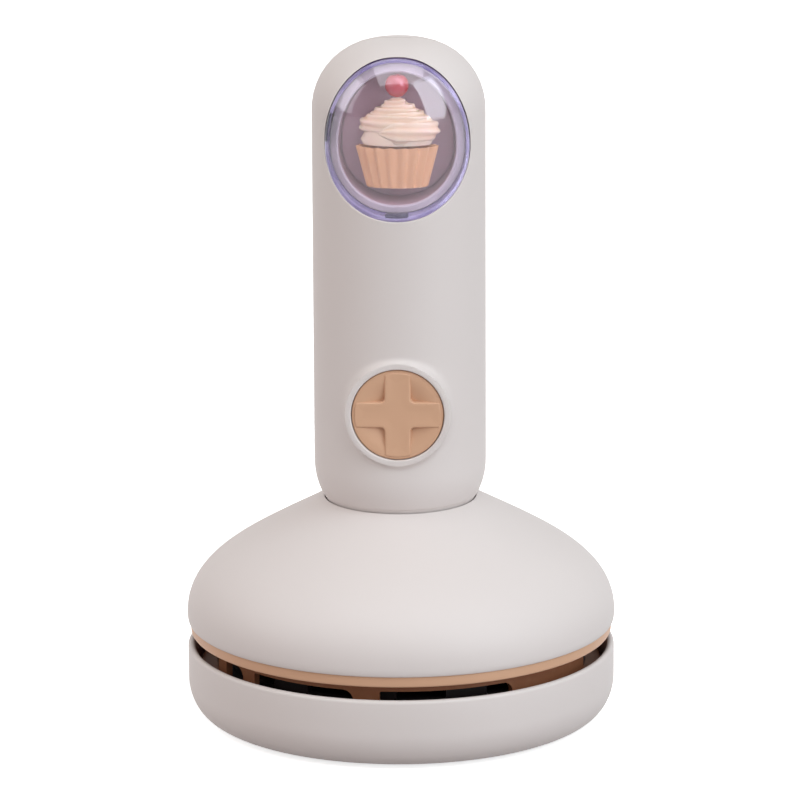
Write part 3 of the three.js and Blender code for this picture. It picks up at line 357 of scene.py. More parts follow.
# Window: clear cap, with a saturated lilac wall where one looks along the plastic
lensPlan = planOf(
    tint=(240, 236, 250), flowTint=(226, 220, 246), wall=(174, 162, 196), wallDeep=(104, 88, 140), roughness=0.03,
    refraction=1.46, lensShadow=0.12, wallShadow=0.15, deepHeights=(149.0, 156.5), deepSpan=(0.35, 0.62))


def passLight(tree, shader, shadow):  # light passes the cap, so what stands behind it is lit
    other = anyRay(tree, "Is Shadow Ray", "Is Diffuse Ray")
    feed(tree, shader, {"Alpha": mathNode(tree, "SUBTRACT", 1.0, times(tree, other, 1 - shadow))})


def lensMaterial(plan):
    material, tree, shader = newMaterial("lensLilac", {
        "Transmission Weight": 1.0, "Metallic": 0.0, "IOR": plan.refraction})
    flow = noiseNode(tree, objectPlace(tree), 60.0, 2.0)
    feed(tree, shader, {
        "Base Color": mixColours(tree, times(tree, flow, 0.25), shade(*plan.tint), shade(*plan.flowTint)),
        "Roughness": times(tree, flow, plan.roughness * 2)})
    passLight(tree, shader, plan.lensShadow)
    return material


def lensWallMaterial(plan):
    material, tree, shader = newMaterial("lensWallLilac", {
        "Specular IOR Level": 0.4, "Coat Weight": 0.12, "Coat Roughness": 0.1})
    place = objectPlace(tree)
    streak, cloud = noiseNode(tree, place, 160.0, 3.0), noiseNode(tree, place, 70.0, 1.0)
    both = plus(tree, times(tree, streak, 0.3), times(tree, cloud, 0.7))
    # painted shade: the wall darkens towards its top by height, where the skirt's top lies in shade; the noise streaks
    # add deeper tint at random
    deep = mathNode(tree, "MAXIMUM", spanned(tree, both, *plan.deepSpan), heightMask(tree, *plan.deepHeights))
    feed(tree, shader, {
        "Base Color": mixColours(tree, deep, shade(*plan.wall), shade(*plan.wallDeep)),
        "Roughness": plus(tree, times(tree, streak, 0.2), 0.12)})
    addBump(tree, shader, streak, 0.08, 0.00006)
    passLight(tree, shader, plan.wallShadow)
    return material


# The record's slots, and four finishes for single pieces
materialOf = {
    "shell_white": mouldedPlastic("shellWhite", {"Specular IOR Level": 0.28}),
    "tan_plastic": mouldedPlastic("tanPlastic", {"Specular IOR Level": 0.3}),
    "dark_plastic": mouldedPlastic("darkPlastic", {"Specular IOR Level": 0.25}, dust=((120, 110, 104), 0.15, 1200.0)),
    "tray_mauve": mouldedPlastic("trayMauve"),
    "lens_lilac": lensMaterial(lensPlan),
    "rubber_grey": mouldedPlastic("rubberGrey", dust=((150, 142, 136), 0.2, 1500.0)),
    "brush_fibre": streakedMaterial("brushFibre", {"Roughness": 0.45}, 700.0, 2.0, (52, 48, 49), (92, 86, 86), 0.3),
    "filter_felt": feltMaterial(),
    "nylon_white": mouldedPlastic("nylonWhite"),
    "screw_steel": drawnMetal("screwSteel", (196, 198, 202), (160, 162, 166), 2500.0, 0.25),
    "motor_steel": drawnMetal("motorSteel", (168, 170, 174), (120, 122, 128), 1800.0, 0.3),
    "board_green": boardMaterial(),
    "cell_wrap": streakedMaterial("cellWrap", {"Coat Weight": 0.5, "Coat Roughness": 0.15}, 240.0, 3.0,
                                  (70, 118, 172), (92, 142, 196), 0.1, glossShare=0.6),
    "wire_red": mouldedPlastic("wireRed"),
    "wire_black": mouldedPlastic("wireBlack"),
    "cup_apricot": mouldedPlastic("cupApricot"),
    "cream_white": icingMaterial(icingPlan),
    "cherry_red": mouldedPlastic("cherryRed", {"Coat Weight": 0.4, "Coat Roughness": 0.08}),
}
# painted shade: the chassis is darker brown below the flange, where the slit lies in shade
chassisTan = mouldedPlastic("chassisTan", {"Specular IOR Level": 0.22}, paintedShade=((146, 96, 68), 20.75, 20.2))
# a paler copy of the tray's mauve: painted light on the tray's rim
trayRimMauve = mouldedPlastic("trayRimMauve")
lensWallLilac = lensWallMaterial(lensPlan)
# near-black lilac for the lens clips: painted shade in the slots beside them
lensClipLilac = mouldedPlastic("lensClipLilac")
for name, node in cadNodes.items():
    node.data.materials.clear()
    node.data.materials.append(materialOf[slotOf[name]])
print("stage: materials made,", len(bpy.data.materials))


# Floor, backdrop and light
stagePlan = planOf(
    floorSize=12.0, floorSeen=shade(250, 250, 250), floorBounce=(0.375, 0.335, 0.33, 1.0), floorGlow=0.7,
    worldFill=0.576, worldTint=(1.0, 0.992, 0.98, 1.0), lampTarget=(0, 0, 0.08),
    lamps={  # azimuth, elevation, distance, width, height, power, tint, shows in reflections, lights the object
        "topLamp": (1, 69, 1.6, 1.25, 1.0, 2.5, (0.975, 1.0, 1.0), True, True),
        "frontLamp": (4, 34, 1.6, 1.5, 0.7, 2.75, (1.0, 0.98, 0.98), False, True),
        "rightLamp": (52, 30, 1.6, 0.85, 1.8, 14.4, (0.81, 0.933, 1.0), True, True),
        "topCard": (5, 74, 1.55, 1.35, 0.95, 11.0, (0.98, 0.98, 1.0), True, False),
        "rightCard": (50, 26, 1.55, 0.8, 1.7, 16.0, (0.98, 0.99, 1.0), True, False),
        "leftCard": (-70, 26, 1.55, 0.55, 1.2, 4.5, (0.97, 0.98, 1.0), True, False),
        "leftLamp": (-82, 30, 1.6, 0.7, 1.3, 5.0, (1.0, 0.947, 0.917), True, True),
    })
seenRays = ("Is Camera Ray", "Is Glossy Ray", "Is Transmission Ray")


def makeFloor(plan):
    half = plan.floorSize / 2
    mesh = bpy.data.meshes.new("floor")
    mesh.from_pydata([(-half, -half, 0), (half, -half, 0), (half, half, 0), (-half, half, 0)], [], [(0, 1, 2, 3)])
    material, tree, shader = newMaterial("paperFloor", {
        "Roughness": 0.9, "Specular IOR Level": 0.1, "Emission Color": (1, 1, 1, 1)})
    seen = anyRay(tree, *seenRays)
    feed(tree, shader, {
        "Base Color": mixColours(tree, seen, plan.floorBounce, plan.floorSeen),
        "Emission Strength": times(tree, seen, plan.floorGlow)})
    mesh.materials.append(material)
    addObject("floor", mesh)


def makeWorld(plan):
    world = bpy.data.worlds.new("studio")
    world.use_nodes = True
    tree = world.node_tree
    seen = anyRay(tree, *seenRays)
    feed(tree, tree.nodes["Background"], {
        "Color": mixColours(tree, seen, plan.worldTint, (1.0, 1.0, 1.0, 1.0)),
        "Strength": plus(tree, times(tree, seen, 1 - plan.worldFill), plan.worldFill)})
    bpy.context.scene.world = world


def makeLamps(plan):
    for name, (azimuth, elevation, distance, width, height, power, tint, mirrored, lights) in plan.lamps.items():
        data = bpy.data.lights.new(name, "AREA")
        data.shape = "RECTANGLE"
        data.size, data.size_y, data.energy, data.color = width, height, power, tint
        light = addObject(name, data)
        turn, rise = math.radians(azimuth), math.radians(elevation)
        away = Vector((math.sin(turn) * math.cos(rise), -math.cos(turn) * math.cos(rise), math.sin(rise)))
        aimAlong(light, Vector(plan.lampTarget) + away * distance, -away)
        light.visible_glossy, light.visible_diffuse = mirrored, lights


makeFloor(stagePlan)
makeWorld(stagePlan)
makeLamps(stagePlan)
bpy.context.scene.view_settings.view_transform = "Standard"
print("stage: floor, world and lamps made")


# Mesh helpers: points are in millimetres until a piece is made
class meshSketch:
    def __init__(self):
        self.points, self.faces = [], []

    def add(self, places):
        first = len(self.points)
        self.points.extend(tuple(place) for place in places)
        return list(range(first, len(self.points)))

    def skin(self, one, other):
        for n in range(len(one)):
            m = (n + 1) % len(one)
            self.faces.append((one[n], one[m], other[m], other[n]))
        return other

    def fan(self, loop, place):
        middle = self.add([place])[0]
        for n, corner in enumerate(loop):
            self.faces.append((corner, loop[(n + 1) % len(loop)], middle))

    def loft(self, rings, ends="capped"):  # the ends are capped, open or joined
        for one, other in zip(rings, rings[1:]):
            self.skin(one, other)
        if ends == "joined":
            self.skin(rings[-1], rings[0])
        elif ends == "capped":
            self.faces += [tuple(reversed(rings[0])), tuple(rings[-1])]
        return self

    def merge(self, other, moved):
        first = len(self.points)
        self.points += [moved(*point) for point in other.points]
        self.faces += [tuple(first + corner for corner in face) for face in other.faces]


def cleanMesh(made, weld=0.002):
    work = bmesh.new()
    work.from_mesh(made.data)
    bmesh.ops.remove_doubles(work, verts=work.verts, dist=weld * mm)
    bmesh.ops.dissolve_degenerate(work, edges=work.edges, dist=0.0005 * mm)
    bmesh.ops.recalc_face_normals(work, faces=work.faces)
    work.to_mesh(made.data)
    work.free()


def freshObject(name, sketch, weld=0.002):
    mesh = bpy.data.meshes.new(name)
    mesh.from_pydata([(x * mm, y * mm, z * mm) for x, y, z in sketch.points], [], sketch.faces)
    made = addObject(name, mesh)
    cleanMesh(made, weld)
    return made


def finishPiece(made, node=None, body="power_unit", slot=None, material=None, sharp=34):
    slot = slot or slotOf[node]
    for face in made.data.polygons:
        face.use_smooth = True
    made.data.set_sharp_from_angle(angle=math.radians(sharp))
    if not made.data.materials:
        made.data.materials.append(material or materialOf[slot])
    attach(made, body)
    if node:
        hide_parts(node)


def combine(target, sketch, operation="DIFFERENCE", weld=0.002):
    tool = freshObject("tool", sketch, weld)
    change = target.modifiers.new("combine", "BOOLEAN")
    change.operation, change.solver, change.object = operation, "EXACT", tool
    graph = bpy.context.evaluated_depsgraph_get()
    result = bpy.data.meshes.new_from_object(target.evaluated_get(graph))
    target.modifiers.clear()
    old, target.data = target.data, result
    bpy.data.meshes.remove(old)
    bpy.data.objects.remove(tool)
    cleanMesh(target, 0.0008)


def clamp(value, low=0.0, high=1.0):
    return max(low, min(high, value))


def eased(value):
    value = clamp(value)
    return value * value * (3 - 2 * value)


def arcPoints(across, up, radiusAcross, radiusUp, start, end, steps):
    angles = [math.radians(start + (end - start) * n / steps) for n in range(steps + 1)]
    return [(across + radiusAcross * math.cos(angle), up + radiusUp * math.sin(angle)) for angle in angles]


def softened(corners, radius=0.3, steps=3):  # a corner may carry its own radius as a third number
    found = []
    for n, corner in enumerate(corners):
        here = Vector(corner[:2])
        back = Vector(corners[n - 1][:2]) - here
        ahead = Vector(corners[(n + 1) % len(corners)][:2]) - here
        own = corner[2] if len(corner) > 2 else radius
        turn = back.angle(ahead, math.pi)
        if own <= 0 or turn > math.radians(165) or back.length < 1e-6 or ahead.length < 1e-6:
            found.append(tuple(here))
            continue
        reach = min(own / math.tan(turn / 2), back.length * 0.49, ahead.length * 0.49)
        real = reach * math.tan(turn / 2)
        middle = here + (back.normalized() + ahead.normalized()).normalized() * (real / math.sin(turn / 2))
        one = here + back.normalized() * reach - middle
        two = here + ahead.normalized() * reach - middle
        first = math.atan2(one.y, one.x)
        swing = (math.atan2(two.y, two.x) - first + math.pi) % (2 * math.pi) - math.pi
        angles = [first + swing * k / steps for k in range(steps + 1)]
        found += [(middle.x + real * math.cos(angle), middle.y + real * math.sin(angle)) for angle in angles]
    return found


def spun(sketch, profile, segments, placeAt):
    angles = [2 * math.pi * n / segments for n in range(segments)]
    rings = [sketch.add(placeAt(radius, level, angle) for angle in angles) for radius, level in profile]
    return sketch.loft(rings, "joined")


def turned(sketch, profile, segments, centre=(0, 0)):  # a closed profile of (radius, height)
    return spun(sketch, profile, segments, lambda radius, height, angle: (
        centre[0] + radius * math.sin(angle), centre[1] - radius * math.cos(angle), height))


def turnedObject(name, profile, segments, centre=(0, 0)):
    return freshObject(name, turned(meshSketch(), profile, segments, centre))


def rodAlongY(sketch, profile, segments, x, z):  # a closed profile of (radius, depth)
    return spun(sketch, profile, segments, lambda radius, depth, angle: (
        x + radius * math.cos(angle), depth, z + radius * math.sin(angle)))


def plainRod(sketch, radius, x, z, front, back, segments=32):
    return rodAlongY(sketch, [(0, front), (radius, front), (radius, back), (0, back)], segments, x, z)


def drillHoles(piece, spots, foot, top, segments=20):  # pairs of a node and the radius of its hole
    holes = meshSketch()
    for node, radius in spots:
        turned(holes, [(0, foot), (radius, foot), (radius, top), (0, top)], segments, middleOf(node))
    combine(piece, holes)


def softBlock(sketch, low, high, radius=0.25, steps=2):  # rounded upright edges and a softened top and foot
    corners = [(low[0], low[1]), (high[0], low[1]), (high[0], high[1]), (low[0], high[1])]
    levels = [(low[2], radius), (low[2] + radius * 0.3, radius * 0.3), (low[2] + radius, 0),
              (high[2] - radius, 0), (high[2] - radius * 0.3, radius * 0.3), (high[2], radius)]
    rings = []
    for height, inset in levels:
        drawn = [(x + (inset if x == low[0] else -inset), y + (inset if y == low[1] else -inset)) for x, y in corners]
        rings.append(sketch.add((x, y, height) for x, y in softened(drawn, max(radius - inset, 0.02), steps)))
    return sketch.loft(rings)


def newBlock(low, high, radius=0.25, steps=2):
    return softBlock(meshSketch(), low, high, radius, steps)


def tubeAlong(sketch, path, radius, sides=12):
    route = [Vector(point) for point in path]
    upward = Vector((0.3, 0.2, 0.9)).normalized()
    angles = [2 * math.pi * k / sides for k in range(sides)]
    rings = []
    for n, point in enumerate(route):
        ahead = (route[min(n + 1, len(route) - 1)] - route[max(n - 1, 0)]).normalized()
        sideways = ahead.cross(upward)
        if sideways.length < 0.05:
            sideways = ahead.cross(Vector((1, 0, 0)))
        sideways.normalize()
        upward = sideways.cross(ahead).normalized()
        rings.append(sketch.add(
            point + radius * (math.cos(angle) * sideways + math.sin(angle) * upward) for angle in angles))
    return sketch.loft(rings)


def smoothPath(points, steps=8):  # Catmull-Rom through the points
    guides = [Vector(p) for p in points]
    ends = [guides[0] * 2 - guides[1]] + guides + [guides[-1] * 2 - guides[-2]]
    found = []
    for n in range(1, len(ends) - 2):
        a, b, c, d = ends[n - 1:n + 3]
        for k in range(steps):
            t = k / steps
            found.append(0.5 * ((2 * b) + (c - a) * t + (2 * a - 5 * b + 4 * c - d) * t * t
                                + (3 * b - a - 3 * c + d) * t ** 3))
    return found + [guides[-1]]


# Dust bowl: turned shell with a rolled rim, inlet pocket, chimney and seat ribs
bowlLow, bowlHigh = boxOf("dust_bowl")
chassisLow, chassisHigh = boxOf("air_chassis")
bowlPlan = planOf(
    radius=bowlHigh.x, foot=bowlLow.z, rim=bowlHigh.z, wall=1.7, edgeWidth=6.3, edgeHeight=8.5, segments=192,
    housing=(31.7, 12.7, 4.9), chimney=(25.5, 6.0, 6.2), pocket=(30.0, 11.0, 3.2), slot=(24.0, 4.5),
    ribTop=chassisLow.z, ribInside=43.7, ribWidth=2.0, outerSteps=22, innerSteps=16, rollSteps=10, sideShare=0.7)


def makeBowl(plan):
    radius, foot, rim, wall = plan.radius, plan.foot, plan.rim, plan.wall
    edge, side = (radius - plan.edgeWidth, foot + plan.edgeHeight), rim * plan.sideShare
    outer = arcPoints(*edge, plan.edgeWidth, plan.edgeHeight, -90, 0, plan.outerSteps)
    inner = arcPoints(*edge, plan.edgeWidth - wall, plan.edgeHeight - wall, 0, -90, plan.innerSteps)
    roll = arcPoints(radius - wall / 2, rim - wall / 2, wall / 2, wall / 2, 0, 180, plan.rollSteps)
    bowl = turnedObject("bowlShell", [
        (0, foot), *outer, (radius, side), *roll, (radius - wall, side), *inner, (0, foot + wall)],
        plan.segments)
    top, high, roof = plan.housing[2], plan.chimney[2], plan.pocket[2]
    for size, start, end, rounding, operation in (
            (plan.housing, foot + wall * 0.5, top, 0.5, "UNION"), (plan.chimney, top - 1, high, 0.4, "UNION"),
            (plan.pocket, foot - 1, roof, 0.4, "DIFFERENCE"), (plan.slot, roof - 1, high + 1, 0.4, "DIFFERENCE")):
        a, b = size[:2]
        combine(bowl, newBlock((-a, -b, start), (a, b, end), rounding), operation)
    ribs = meshSketch()
    half, edgeIn, edgeUp = plan.ribWidth / 2, plan.edgeWidth - wall * 0.5, plan.edgeHeight - wall * 0.5
    single = newBlock((plan.ribInside, -half, foot + wall * 0.6), (radius - wall * 0.5, half, plan.ribTop), 0.3)
    for n in range(4):
        turn = math.radians(45 + 90 * n)

        def moved(x, y, z):  # the rib's foot follows the bowl's rounding
            drop = min(0.0, z - foot - plan.edgeHeight) / edgeUp
            x = min(x, radius - plan.edgeWidth + edgeIn * math.sqrt(max(0.0, 1 - drop ** 2)))
            return (x * math.sin(turn) - y * math.cos(turn), -x * math.cos(turn) - y * math.sin(turn), z)

        ribs.merge(single, moved)
    combine(bowl, ribs, "UNION")
    finishPiece(bowl, "dust_bowl", "bowl")


makeBowl(bowlPlan)

# Foot pads and brush strips under the bowl
padPlan = planOf(segments=40, rounding=0.3)
brushPlan = planOf(
    rows=3, perRow=46, rowGap=0.55, endGap=2.0, holder=1.3, thickness=0.22, spread=0.5,
    names={"brushFront": "brush_strip_front", "brushBack": "brush_strip_back"})


def makePad(name, node, plan):
    low, high = boxOf(node)
    reach = (high.x - low.x) / 2
    outline = softened([(0, low.z, 0), (reach, low.z), (reach, high.z, 0), (0, high.z, 0)], plan.rounding)
    finishPiece(turnedObject(name, outline, plan.segments, middleOf(node)), node, "bowl")


def makeBrush(name, node, plan):
    low, high = boxOf(node)
    root = high.z - plan.holder
    strip = newBlock((low.x, low.y, root), tuple(high), 0.3)
    for row in range(plan.rows):
        for n in range(plan.perRow):
            share = (n + 0.5 * (row % 2)) / plan.perRow
            x = low.x + plan.endGap + (high.x - low.x - 2 * plan.endGap) * share
            y = (low.y + high.y) / 2 + (row - (plan.rows - 1) / 2) * plan.rowGap
            lean = math.sin(n * 12.9898 + row * 78.233) * plan.spread
            tubeAlong(strip, [(x, y, root + 0.2), (x + lean * 0.2, y + lean * 0.3, (low.z + high.z) / 2),
                              (x + lean * 0.5, y + lean * 0.6, low.z)], plan.thickness, 5)
    finishPiece(freshObject(name, strip, 0.0001), node, "bowl")


for n, node in enumerate(numbered("foot_pad", 4)):
    makePad(f"footPad{n + 1}", node, padPlan)
for name, node in brushPlan.names.items():
    makeBrush(name, node, brushPlan)
print("stage: dust bowl, feet and brushes made")

# Air chassis: skirt, windowed wall and flange; a window is start, end in degrees and its two corner radii
chassisPlan = planOf(
    segments=192, skirtInside=44.5, skirt=47.0, windowFoot=12.5, windowHead=18.3, groove=46.0, grooveLow=9.25,
    grooveHigh=11.25, ledge=40.0, ledgeUnder=11.3, wallOut=45.0, wallIn=43.5, flangeUnder=20.5, flange=chassisHigh.x,
    top=chassisHigh.z, flangeRound=0.45, bore=22.0, screwHole=1.4, motorHole=1.2, windowColumns=26,
    windows=((-4.8, 36.0, 0.4, 2.4), (71.8, 110.9, 0.4, 0.4), (117.4, 127.4, 0.4, 2.4), (132.9, 167.4, 0.4, 2.4)))


def windowCutter(sketch, wallIn, wallOut, foot, head, start, end, startRound, endRound):  # an arched band
    columns, rings = chassisPlan.windowColumns, []
    for n in range(columns + 1):
        angle = start + (end - start) * (0.5 - 0.5 * math.cos(math.pi * (n / columns)))
        top = head
        for distance, radius in ((angle - start, startRound), (end - angle, endRound)):
            arc = math.radians(distance) * wallOut
            if arc < radius:
                top = min(top, head - radius + math.sqrt(max(0.0, radius ** 2 - (radius - arc) ** 2)))
        turn = math.radians(angle)
        rings.append(sketch.add((reach * math.sin(turn), -reach * math.cos(turn), height) for reach, height in (
            (wallIn - 1, foot), (wallOut + 1, foot), (wallOut + 1, top), (wallIn - 1, top))))
    sketch.loft(rings)


def makeChassis(plan):
    foot, head, under, top = chassisLow.z, plan.windowFoot, plan.flangeUnder, plan.top
    chassis = turnedObject("chassisRing", softened([
        (plan.skirtInside, foot, 0.3), (plan.skirt, foot, 0.5), (plan.skirt, plan.grooveLow, 0.15),
        (plan.groove, plan.grooveLow, 0.1), (plan.groove, plan.grooveHigh, 0.1), (plan.skirt, plan.grooveHigh, 0.15),
        (plan.skirt, head, 0.4), (plan.wallOut, head, 0.3), (plan.wallOut, under, 0.5),
        (plan.flange, under, plan.flangeRound), (plan.flange, top, 0.25), (plan.bore, top, 0.3),
        (plan.bore, under, 0.3), (plan.wallIn, under, 0.4), (plan.wallIn, head, 0.3), (plan.ledge, head, 0.3),
        (plan.ledge, plan.ledgeUnder, 0.3), (plan.skirtInside, plan.ledgeUnder, 0.3)], steps=4), plan.segments)
    cut = meshSketch()
    for half in (0, 180):
        for start, end, *rounds in plan.windows:
            windowCutter(cut, plan.wallIn, plan.wallOut, head, plan.windowHead, start + half, end + half, *rounds)
    combine(chassis, cut)
    spots = [(node, plan.screwHole) for node in numbered("chassis_screw", 4)]
    spots += [(node, plan.motorHole) for node in numbered("motor_mount_screw", 3)]
    drillHoles(chassis, spots, under - 1, top + 1)
    finishPiece(chassis, "air_chassis", material=chassisTan)


makeChassis(chassisPlan)

# Lip seal in the skirt's groove, and the felt pad of the filter
sealPlan = planOf(segments=160, rootGap=0.3, rootWidth=1.2, lipHalf=0.2, lipRise=0.05, rounding=0.2, tipRound=0.12)


def makeSeal(plan):
    low, high = boxOf("bowl_seal")
    root, middle = chassisPlan.groove + plan.rootGap, (low.z + high.z) / 2 + plan.lipRise
    finishPiece(turnedObject("lipSeal", softened([
        (root, low.z), (root + plan.rootWidth, low.z), (high.x, middle - plan.lipHalf, plan.tipRound),
        (high.x, middle + plan.lipHalf, plan.tipRound), (root + plan.rootWidth, high.z), (root, high.z)],
        plan.rounding), plan.segments), "bowl_seal")


filterPlan = planOf(segments=128, rings=26, pillow=0.12, edge=0.35, ribHalf=1.0, ribSwell=10.0, rimSwell=4.0)


def makeFilterPad(plan):  # two felted faces that swell between the frame's cross ribs
    low, high = boxOf("filter_pad")
    reach = high.x
    sketch = meshSketch()

    def ring(radius, height, outward=0):
        places = []
        for n in range(plan.segments):
            angle = 2 * math.pi * n / plan.segments
            x, y = radius * math.cos(angle), radius * math.sin(angle)
            soft = eased((min(abs(x), abs(y)) - plan.ribHalf) / plan.ribSwell) - 1
            fade = eased((reach - radius) / plan.rimSwell + 0.2)
            places.append((x, y, height + outward * plan.pillow * soft * fade))
        return sketch.add(places)

    radii = [reach * (n / plan.rings) for n in range(1, plan.rings)] + [reach - plan.edge]
    lower = [ring(radius, low.z, -1) for radius in radii]
    upper = [ring(radius, high.z, 1) for radius in radii]
    side = [ring(reach, height) for height in (low.z + plan.edge, high.z - plan.edge)]
    for rings, height in ((lower, low.z + plan.pillow), (upper, high.z - plan.pillow)):
        sketch.loft(rings, "open").fan(rings[0], (0, 0, height))
    sketch.loft([lower[-1], *side, upper[-1]], "open")
    finishPiece(freshObject("filterFeltPad", sketch), "filter_pad")


makeSeal(sealPlan)
makeFilterPad(filterPlan)
print("stage: chassis, seal and filter made")

# Bell shell: flared on a cubic curve, with a socket for the handle
bellLow, bellHigh = boxOf("bell_shell")
handleLow, handleHigh = boxOf("handle_front_shell")
bellPlan = planOf(
    segments=192, radius=bellHigh.x, foot=bellLow.z, top=bellHigh.z + 0.6, mouth=17.66, wall=2.0,
    waist=bellLow.z + 1.7, tuck=0.42, out=0.64, highDrop=0.395, lowDrop=0.565, lipRound=0.35,
    socketFloor=handleLow.z, socketUnder=handleLow.z - 1.5, wireHole=5.0, screwHole=1.4,
    postRadius=3.2, postHeight=15.6, postDepth=9.0, outerSteps=44, innerSteps=30)


def bellCurve(plan, share, inset=0.0):  # from the mouth at share 0 to the waist at share 1
    rise = bellHigh.z - plan.waist
    a, b, c, d = [Vector(point) for point in (
        (plan.mouth, plan.top),
        (plan.mouth + (plan.radius - plan.mouth) * plan.out, bellHigh.z - rise * plan.highDrop),
        (plan.radius, bellHigh.z - rise * plan.lowDrop), (plan.radius, plan.waist))]
    t, u = share, 1 - share
    at = a * u ** 3 + b * 3 * u * u * t + c * 3 * u * t * t + d * t ** 3
    along = ((b - a) * u * u + (c - b) * 2 * u * t + (d - c) * t * t).normalized()
    return (at.x + along.y * inset, at.y - along.x * inset)


def makeBell(plan):
    radius, mouth, foot, hole, lipRound = plan.radius, plan.mouth, plan.foot, plan.screwHole, plan.lipRound
    outer = [bellCurve(plan, 1 - n / plan.outerSteps) for n in range(1, plan.outerSteps + 1)]
    outer[-1] = (outer[-1][0] + lipRound, bellCurve(plan, 0.004)[1] - 0.06)
    inner = [bellCurve(plan, n / plan.innerSteps, plan.wall) for n in range(plan.innerSteps + 1)]
    tuck = arcPoints(radius - plan.tuck, plan.waist, plan.tuck, plan.waist - foot, -90, 0, 10)
    bell = turnedObject("bellShell", [
        (radius - plan.wall, foot), *tuck, *outer, (mouth + lipRound * 0.4, plan.top - 0.05),
        (mouth, plan.top - lipRound), (mouth, plan.socketFloor),
        (plan.wireHole, plan.socketFloor), (plan.wireHole, plan.socketUnder), (mouth + 1.2, plan.socketUnder),
        *[point for point in inner if point[1] < plan.socketUnder - 0.2 and point[0] > mouth + 1.2]], plan.segments)
    drillHoles(bell, [(node, hole) for node in numbered("neck_screw", 2)], plan.socketUnder - 1, plan.socketFloor + 1)
    posts = meshSketch()
    deep, high = foot + plan.postDepth, foot + plan.postHeight
    for node in numbered("chassis_screw", 4):
        turned(posts, [(hole, foot), (plan.postRadius, foot), (plan.postRadius, high), (0, high), (0, deep),
                       (hole, deep)], 32, middleOf(node))
    combine(bell, posts, "UNION")
    finishPiece(bell, "bell_shell", sharp=30)


makeBell(bellPlan)
print("stage: bell made")

# Handle: capsule with a boss round the button and a window high in the front
lensLow, lensHigh = boxOf("display_lens")
buttonLow, buttonHigh = boxOf("power_button")
handlePlan = planOf(
    radius=handleHigh.x, wall=2.0, foot=handleLow.z, top=handleHigh.z, neckHeight=handleLow.z + 1.2,
    grooveHeight=1.15, grooveDepth=0.7, grooveRound=0.3, shoulderRound=17.0, shoulderTop=handleLow.z + 10.3,
    crownRound=16.1, seamFront=handleHigh.y, seamBack=handleHigh.y + 0.3, columns=96,
    buttonRows=(58.0, 96.0, 18), windowRows=(117.0, 22), plainRows=6, capDegrees=77, layers=26, insideLayers=8,
    bossRadius=12.2, bossFront=handleLow.y, bossBlend=1.5, bossEdge=0.45, bossReach=20.0, holeRadius=10.72,
    holeHeight=middleOf("power_button")[2], fillet=0.28, windowGap=0.16, lensHalfWidth=lensHigh.x,
    lensMiddle=lensLow.z + 16.1, upperHalf=lensHigh.z - 0.55 - lensLow.z - 16.1, lowerHalf=16.1, outlinePower=2.1,
    bossTurn=math.radians(70), bossRoom=8.0, bossSteps=36, grooveRows=4, neckRows=7, layerPower=1.5, filletSteps=4,
    insideRoom=3.1)
shoulderCentre = handlePlan.radius - handlePlan.shoulderRound
crownCentre = handlePlan.radius - handlePlan.crownRound
crownBase = handlePlan.top - handlePlan.crownRound
neckRise = handlePlan.neckHeight - handlePlan.foot
neckAngle = math.asin((handlePlan.neckHeight - handlePlan.shoulderTop) / handlePlan.shoulderRound)
neckRadius = shoulderCentre + handlePlan.shoulderRound * math.cos(neckAngle)
lineStart = neckRise - handlePlan.shoulderRound * neckAngle
crownStart = lineStart + crownBase - handlePlan.shoulderTop
flatStart = crownStart + handlePlan.crownRound * math.pi / 2
poleStart = flatStart + crownCentre


def handleProfile(along, inset=0.0):  # distance along the outer profile from the foot, to (radius, height)
    plan = handlePlan
    if along <= neckRise:
        return neckRadius - inset, plan.foot + along
    if along < lineStart:
        angle, reach = (along - lineStart) / plan.shoulderRound, plan.shoulderRound - inset
        return shoulderCentre + reach * math.cos(angle), plan.shoulderTop + reach * math.sin(angle)
    if along <= crownStart:
        return plan.radius - inset, plan.shoulderTop + along - lineStart
    if along <= flatStart:
        angle, reach = (along - crownStart) / plan.crownRound, plan.crownRound - inset
        return crownCentre + reach * math.cos(angle), crownBase + reach * math.sin(angle)
    return max(0.0, crownCentre - (along - flatStart)), plan.top - inset


def alongAt(height, inset=0.0):  # the same distance, for a height above the shoulder
    if height <= crownBase:
        return lineStart + height - handlePlan.shoulderTop
    share = (height - crownBase) / (handlePlan.crownRound - inset)
    return crownStart + handlePlan.crownRound * math.asin(min(1.0, share))


def radiusAtHeight(height, inset=0.0):
    return handleProfile(alongAt(height, inset), inset)[0]


def bossDepth(distance, turn, height, radius):  # below zero inside the capsule or the boss
    front, edge, blend = handlePlan.bossFront, handlePlan.bossEdge, handlePlan.bossBlend
    x, y = distance * math.sin(turn), -distance * math.cos(turn)
    capsule = distance - radius
    across = math.hypot(x, height - handlePlan.holeHeight) - handlePlan.bossRadius + edge
    ahead = front - y + edge
    boss = math.hypot(max(across, 0), max(ahead, 0)) + min(max(across, ahead), 0) - edge
    share = clamp(0.5 + 0.5 * (boss - capsule) / blend)
    joint = boss * (1 - share) + capsule * share - blend * share * (1 - share)
    return max(joint, front - y) if y < -handlePlan.radius else joint


def outerDistance(turn, along):
    radius, height = handleProfile(along)
    if abs(height - handlePlan.holeHeight) > handlePlan.bossReach or abs(turn) > handlePlan.bossTurn:
        return radius
    low, high = radius - 0.01, radius + handlePlan.bossRoom
    if bossDepth(low, turn, height, radius) > 0:
        return radius
    for _ in range(handlePlan.bossSteps):
        middle = (low + high) / 2
        if bossDepth(middle, turn, height, radius) < 0:
            low = middle
        else:
            high = middle
    return low


def neckInset(height):  # the shadow gap where the handle stands in the bell's socket
    above = height - handlePlan.neckHeight - handlePlan.grooveHeight
    rounding = handlePlan.grooveRound
    if above < 0:
        return handlePlan.grooveDepth
    return rounding - math.sqrt(rounding ** 2 - max(0.0, rounding - above) ** 2)


